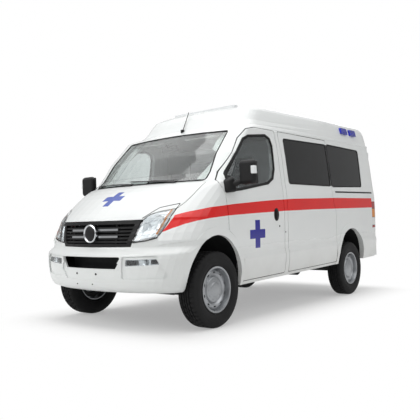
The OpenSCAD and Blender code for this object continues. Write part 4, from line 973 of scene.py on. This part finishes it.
for name, place, side in WHEELS:
    hub = Vector(place)
    fittings = [turned("cap", [(0.0001, 0.0768), (0.02, 0.0764), (0.034, 0.0752), (0.036, 0.0738), (0.06, 0.0722),
        (0.066, 0.0706), (0.07, 0.0676), (0.086, 0.0656), (0.102, 0.0636), (0.113, 0.0612), (0.119, 0.0576),
        (0.1212, 0.053), (0.1212, 0.047), (0.0001, 0.047), (0.0001, 0.0768)], hub, (side, 0, 0), 96)]
    for k in range(10):
        a = math.tau * k / 10
        at = hub + Vector((side * 0.064, 0.094 * math.cos(a), 0.094 * math.sin(a)))
        fittings.append(turned("stud%d" % k, [(0.0001, 0.0045), (0.0035, 0.0042), (0.0058, 0.0028), (0.0064, 0.0),
            (0.0064, -0.004), (0.0001, -0.004)], at, (side, 0, 0), 16))
    valve = hub + Vector((side * 0.06, 0.186 * math.cos(1.2), 0.186 * math.sin(1.2)))
    fittings.append(turned("valve", [(0.0001, 0.026), (0.0035, 0.0255), (0.004, 0.018), (0.0032, 0.0175),
        (0.0032, 0.006), (0.0055, 0.003), (0.006, -0.012), (0.0001, -0.012)], valve, (side, 0, 0), 16))
    cap = joined("hub_cap_" + name, fittings)
    soft_shade(cap, 25)
    done(cap, WHEEL, "wheel_" + name)
    # a dark ring just behind the rim's slots: a brake drum stands there, and its black also paints the shade seen
    # through the slots
    drum = turned("brake_drum_and_slot_shade_" + name, [(0.134, -0.03), (0.172, -0.03), (0.174, -0.022), (0.172, -0.01),
        (0.174, 0.000), (0.17, 0.01), (0.16, 0.016), (0.134, 0.016), (0.134, -0.03)], hub, (side, 0, 0), 64)
    soft_shade(drum, 30)
    done(drum, CHASSIS, "wheel_" + name)


# ---------- tail: hinges, handle, plate place, high brake lamp ----------

for k, z in enumerate((0.76, 1.33, 1.9)):
    knuckle = turned("rear_hinge_barrel_%d" % (k + 1), [(0.0001, 0.044), (0.007, 0.044), (0.0092, 0.041),
        (0.0092, 0.015), (0.008, 0.0142), (0.0092, 0.0134), (0.0092, -0.0134), (0.008, -0.0142), (0.0092, -0.015),
        (0.0092, -0.041), (0.007, -0.044), (0.0001, -0.044)], Vector((0.886, 2.396, z)), (0, 0, 1), 24)
    on_body(knuckle, 40)
    pair(knuckle, WHITE)
    reach = 0.868 if z < 1.6 else 0.85
    strap = strip("rear_hinge_strap_%d" % (k + 1), [(0.772, z), (reach, z)],
        [(-0.021, -0.001), (-0.02, 0.004), (-0.017, 0.006), (0.017, 0.006), (0.02, 0.004), (0.021, -0.001)],
        on_rear, 0.01)
    pair(strap, WHITE, REAR_DOORS)

handle = oval_ring("rear_door_handle_plate", 0.112, 1.06, 0.05, 0.071, [(1.0, -0.001), (0.99, 0.004), (0.93, 0.006),
    (0.8, 0.0045), (0.74, 0.001)], on_rear)
done(handle, BLACK, REAR_DOORS[0])
seat_at = on_rear(0.112, 1.06)
lever = block("rear_door_pull", (0.1, seat_at.y - 0.004, 1.01), (0.124, seat_at.y + 0.012, 1.11), 0.006, 3)
on_body(lever, 35)
done(lever, BLACK, REAR_DOORS[0])
PLATE = [(-0.63, 0.985), (-0.63, 1.105), (-0.17, 1.105), (-0.17, 0.985)]
rim = band("plate_frame", PLATE, [(0.012, -0.001), (0.011, 0.005), (0.006, 0.007), (0.0, 0.006), (-0.002, 0.0)],
    on_rear)
done(rim, BLACK, REAR_DOORS[1])
seat_at = on_rear(-0.4, 1.15)
bar = shaped_block("plate_lamp_bar", [(-0.6, seat_at.y - 0.012, 1.128), (-0.2, seat_at.y - 0.012, 1.128),
    (-0.2, seat_at.y + 0.024, 1.134), (-0.6, seat_at.y + 0.024, 1.134), (-0.6, seat_at.y - 0.012, 1.172),
    (-0.2, seat_at.y - 0.012, 1.172), (-0.21, seat_at.y + 0.012, 1.168), (-0.59, seat_at.y + 0.012, 1.168)], 0.005)
on_body(bar)
done(bar, BLACK, REAR_DOORS[1])
seat_at = on_rear(0, 2.15)
high = shaped_block("high_brake_lamp", [(-0.15, seat_at.y - 0.01, 2.136), (0.15, seat_at.y - 0.01, 2.136),
    (0.146, seat_at.y + 0.01, 2.139), (-0.146, seat_at.y + 0.01, 2.139), (-0.15, seat_at.y - 0.016, 2.164),
    (0.15, seat_at.y - 0.016, 2.164), (0.146, seat_at.y + 0.006, 2.161), (-0.146, seat_at.y + 0.006, 2.161)], 0.004)
on_body(high)
done(high, RED)


# ---------- cab inside ----------

def stuffed(name, size, place, thick, face, crown, pull, bolster=0.0, channels=()):
    """A stuffed pad: crowned faces, sides drawn in between the corners, bolsters and sewn channels in its face."""
    nothing_selected()
    bpy.ops.mesh.primitive_cube_add(size=2)
    obj = bpy.context.object
    obj.name = name
    bpy.ops.object.mode_set(mode="EDIT")
    bpy.ops.mesh.select_all(action="SELECT")
    bpy.ops.mesh.subdivide(number_cuts=45)
    bpy.ops.object.mode_set(mode="OBJECT")
    half = Vector(size) / 2
    half[thick] -= crown
    flat = [i for i in range(3) if i != thick]
    r = half[thick] * 0.62
    for v in obj.data.vertices:
        p = v.co.copy()
        at = Vector([p[i] * half[i] for i in range(3)])
        core = Vector([max(-(half[i] - r), min(half[i] - r, at[i])) for i in range(3)])
        off = at - core
        at = core + off.normalized() * r if off.length > 1e-6 else at
        a, b, t = p[flat[0]], p[flat[1]], p[thick]
        at[thick] += t * crown * (1 - a * a) * (1 - b * b)
        at[flat[0]] -= a * pull * (1 - b * b)
        at[flat[1]] -= b * pull * (1 - a * a)
        if t * face > 0:
            k = min(1.0, max(0.0, (abs(a) - 0.5) / 0.25))
            edge = 1 - max(0.0, (abs(a) - 0.8) / 0.2)
            at[thick] += face * bolster * k * k * (3 - 2 * k) * edge * t * face
            for axis, where, reach in channels:
                along, other = (a, b) if axis == 0 else (b, a)
                if abs(other) < reach:
                    d = (along - where) * half[flat[axis]] / 0.0085
                    at[thick] -= face * 0.009 * math.exp(-d * d) * min(1.0, (reach - abs(other)) / 0.08)
        # the sewn seam between the face and the sides
        if max(abs(a), abs(b)) > 0.9:
            d = (t * face - 0.52) / 0.055
            squeeze = 0.0045 * math.exp(-d * d)
            at -= Vector([math.copysign(squeeze, p[i]) if i != thick and abs(p[i]) > 0.97 else 0 for i in range(3)])
        v.co = at
    settle(obj, BODY @ place)
    soft_shade(obj, 60)
    done(obj, CLOTH)
    return obj


pads, skirts = [], []
for k, (x, wide_seat, wide_back, rest_x) in enumerate(((0.43, 0.46, 0.45, 0.225), (-0.18, 0.46, 0.45, 0.225),
    (-0.6, 0.42, 0.415, 0.21))):
    label = ("driver", "middle", "passenger")[k]
    left = x - 0.23
    pads.append(stuffed("seat_cushion_" + label, (wide_seat, 0.52, 0.13),
        Matrix.Translation((left + wide_seat / 2, -0.83, 0.875)), 2, 1, 0.012, 0.01, 0.014,
        ((0, -0.52, 0.94), (0, 0.52, 0.94), (1, -0.3, 0.5), (1, 0.25, 0.5))))
    lean = Matrix.Translation((x - 0.225, -0.585, 0.86)) @ Matrix.Rotation(math.radians(-12), 4, "X")
    pads.append(stuffed("seat_back_" + label, (wide_back, 0.11, 0.62), lean @ Matrix.Translation((wide_back / 2,
        0.055, 0.31)), 1, -1, 0.01, 0.012, 0.014, ((0, -0.52, 0.92), (0, 0.52, 0.92), (1, -0.35, 0.5),
        (1, 0.1, 0.5), (1, 0.52, 0.5))))
    pads.append(stuffed("headrest_" + label, (0.22, 0.075, 0.15), lean @ Matrix.Translation((rest_x, 0.0575,
        0.715)), 1, -1, 0.008, 0.008, 0.0, ((1, 0.0, 0.8),)))
    for post in (0.16, 0.27):
        rod = turned("headrest_post_%s_%d" % (label, round(post * 1000)), [(0.0001, 0.06), (0.006, 0.06),
            (0.007, 0.055), (0.007, 0.004), (0.011, 0.002), (0.012, -0.004), (0.0001, -0.004)],
            Vector((post - 0.225 + rest_x, 0.055, 0.603)), (0, 0, 1), 16)
        settle(rod, BODY @ lean)
        soft_shade(rod, 40)
        skirts.append(rod)
        done(rod, CHROME)
    skirt = shaped_block("seat_skirt_" + label, [(left + 0.03, -1.03, 0.576), (left + 0.43, -1.03, 0.576),
        (left + 0.43, -0.59, 0.576), (left + 0.03, -0.59, 0.576), (left + 0.02, -1.05, 0.815),
        (left + min(0.44, wide_seat - 0.01), -1.05, 0.815), (left + min(0.44, wide_seat - 0.01), -0.59, 0.815),
        (left + 0.02, -0.59, 0.815)], 0.018, 3)
    on_body(skirt)
    skirts.append(skirt)
    done(skirt, BLACK)
for piece in pads + skirts:
    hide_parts("seats")

hub = turned("horn_pad", [(0.0001, 0.046), (0.025, 0.045), (0.045, 0.041), (0.06, 0.033), (0.068, 0.02),
    (0.07, 0.006), (0.066, -0.01), (0.0001, -0.01)], mm(430, -1070, 1300),
    (0, math.sin(math.radians(40)), math.cos(math.radians(40))), 48)
on_body(hub, 40)
done(hub, DASH)

top = on_front(0, 1.85)
glass = shaped_block("cab_mirror", [(-0.125, top.y + 0.075, 1.8), (0.125, top.y + 0.075, 1.8),
    (0.125, top.y + 0.093, 1.8), (-0.125, top.y + 0.093, 1.8), (-0.12, top.y + 0.068, 1.862),
    (0.12, top.y + 0.068, 1.862), (0.12, top.y + 0.09, 1.862), (-0.12, top.y + 0.09, 1.862)], 0.008, 4)
stem = shaped_block("cab_mirror_stem", [(-0.009, top.y + 0.012, 1.85), (0.009, top.y + 0.012, 1.85),
    (0.009, top.y + 0.08, 1.822), (-0.009, top.y + 0.08, 1.822), (-0.014, top.y + 0.026, 1.872),
    (0.014, top.y + 0.026, 1.872), (0.009, top.y + 0.08, 1.84), (-0.009, top.y + 0.08, 1.84)], 0.004)
housing = joined("cab_mirror", [glass, stem])
on_body(housing)
done(housing, BLACK)
for x1, x2, label in ((0.15, 0.6, "left"), (-0.6, -0.15, "right")):
    edge = on_front((x1 + x2) / 2, 1.925)
    visor = shaped_block("sun_visor_" + label, [(x1, edge.y + 0.055, 1.905), (x2, edge.y + 0.055, 1.905),
        (x2 - 0.02, edge.y + 0.205, 1.925), (x1 + 0.02, edge.y + 0.205, 1.925), (x1, edge.y + 0.055, 1.921),
        (x2, edge.y + 0.055, 1.921), (x2 - 0.02, edge.y + 0.205, 1.941), (x1 + 0.02, edge.y + 0.205, 1.941)], 0.006, 3)
    on_body(visor)
    done(visor, LINING)


# ---------- camera, light, floor ----------

floor = block("floor_plane", (-14, -14, -0.05), (14, 16, 0.0), 0.02)
pale, shader = new_material("pale_studio_floor")
shader.inputs["Base Color"].default_value = srgb("#EDEDEC")
shader.inputs["Roughness"].default_value = 0.9
# seen directly or in a reflection the floor is white paper, but near the wheels it keeps the shadow
rays = node(pale, "LightPath")
spot = node(pale, "SeparateXYZ", {"Vector": node(pale, "TexCoord").outputs["Object"]})
side_way = node(pale, "Math", [node(pale, "Math", [node(pale, "Math", [spot.outputs["X"]], operation="ABSOLUTE"),
    0.85], operation="SUBTRACT"), 0.0], operation="MAXIMUM")
long_way = node(pale, "Math", [node(pale, "Math", [node(pale, "Math", [spot.outputs["Y"]], operation="ABSOLUTE"),
    2.1], operation="SUBTRACT"), 0.0], operation="MAXIMUM")
away = node(pale, "Math", [node(pale, "Math", [node(pale, "Math", [side_way, 2.0], operation="POWER"),
    node(pale, "Math", [long_way, 2.0], operation="POWER")], operation="ADD")], operation="SQRT")
fade = node(pale, "MapRange", {"Value": away, "From Min": 0.0, "From Max": 0.75, "To Min": 0.35, "To Max": 1.0},
    interpolation_type="SMOOTHSTEP")
looked_at = node(pale, "Math", [rays.outputs["Is Camera Ray"], node(pale, "Math",
    [rays.outputs["Is Glossy Ray"], rays.outputs["Is Transmission Ray"]], operation="MAXIMUM")], operation="MAXIMUM")
paper = node(pale, "Emission", {"Color": (1, 1, 1, 1), "Strength": 1.0})
blend = node(pale, "MixShader", {"Fac": node(pale, "Math", [fade.outputs["Result"], looked_at], operation="MULTIPLY"),
    1: shader.outputs["BSDF"], 2: paper.outputs["Emission"]})
feed(pale, blend.outputs["Shader"], pale.node_tree.nodes["Material Output"], "Surface")
floor.data.materials.append(pale)

world = bpy.data.worlds.new("studio_room")
bpy.context.scene.world = world
world.use_nodes = True
air = world.node_tree.nodes["Background"]
air.inputs["Color"].default_value = (1, 1, 1, 1)
air.inputs["Strength"].default_value = 0.46
rays = node(world, "LightPath")
paper = node(world, "Background", {"Color": (1, 1, 1, 1), "Strength": 1.0})
# reflections see a room that is brighter overhead than along the ground
sky = node(world, "SeparateXYZ", {"Vector": node(world, "TexCoord").outputs["Generated"]})
rise = node(world, "MapRange", {"Value": sky.outputs["Z"], "From Min": 0.45, "From Max": 0.82, "To Min": 0.42,
    "To Max": 1.9}, interpolation_type="SMOOTHSTEP")
room = node(world, "Background", {"Color": (1, 1, 1, 1), "Strength": rise.outputs["Result"]})
through = node(world, "Math", [rays.outputs["Is Camera Ray"], rays.outputs["Is Transmission Ray"]], operation="MAXIMUM")
gloss = node(world, "MixShader", {"Fac": rays.outputs["Is Glossy Ray"], 1: air.outputs["Background"],
    2: room.outputs["Background"]})
seen = node(world, "MixShader", {"Fac": through, 1: gloss.outputs["Shader"], 2: paper.outputs["Background"]})
feed(world, seen.outputs["Shader"], world.node_tree.nodes["World Output"], "Surface")


def lamp(name, place, target, size, power):
    data = bpy.data.lights.new(name, "AREA")
    data.shape = "RECTANGLE"
    data.size = size[0]
    data.size_y = size[1]
    data.energy = power
    obj = bpy.data.objects.new(name, data)
    bpy.context.scene.collection.objects.link(obj)
    obj.location = place
    obj.rotation_euler = (Vector(target) - Vector(place)).to_track_quat("-Z", "Y").to_euler()


lamp("overhead_softbox", (0.5, -1.5, 8.0), (0, 0, 1.0), (7, 9), 300)
lamp("front_softbox", (-3.5, -9.0, 5.5), (0, -1.5, 1.0), (6, 4), 300)
lamp("side_softbox", (8.5, 0.5, 6.0), (0.8, 0, 1.2), (8, 4), 120)
lamp("rear_softbox", (-4.5, 8.5, 5.0), (0, 2.0, 1.2), (6, 4), 170)

PHOTO = 420                 # the photograph's width and height in pixels
FOCAL = 543.7               # focal length in the same pixels
AIM = (207.8, 206.1)        # where the line of sight meets the picture
eye = Vector((4.0832, -5.8087, 0.9347))
az, el, roll = math.radians(37.998), math.radians(-2.445), math.radians(-0.936)
look = Vector((-math.sin(az) * math.cos(el), math.cos(az) * math.cos(el), -math.sin(el)))
right = look.cross(Vector((0, 0, 1))).normalized()
up = right.cross(look)
right2 = right * math.cos(roll) + up * math.sin(roll)
up2 = -right * math.sin(roll) + up * math.cos(roll)
view = bpy.data.cameras.new("photo_view")
view.sensor_width = 36
view.lens = FOCAL / PHOTO * view.sensor_width
view.shift_x = (PHOTO / 2 - AIM[0]) / PHOTO
view.shift_y = -(PHOTO / 2 - AIM[1]) / PHOTO
view.clip_end = 60
camera = bpy.data.objects.new("photo_view", view)
bpy.context.scene.collection.objects.link(camera)
turn = Matrix((right2, up2, -look)).transposed().to_4x4()
camera.matrix_world = Matrix.Translation(eye) @ turn
bpy.context.scene.camera = camera
bpy.context.scene.view_settings.view_transform = "Standard"
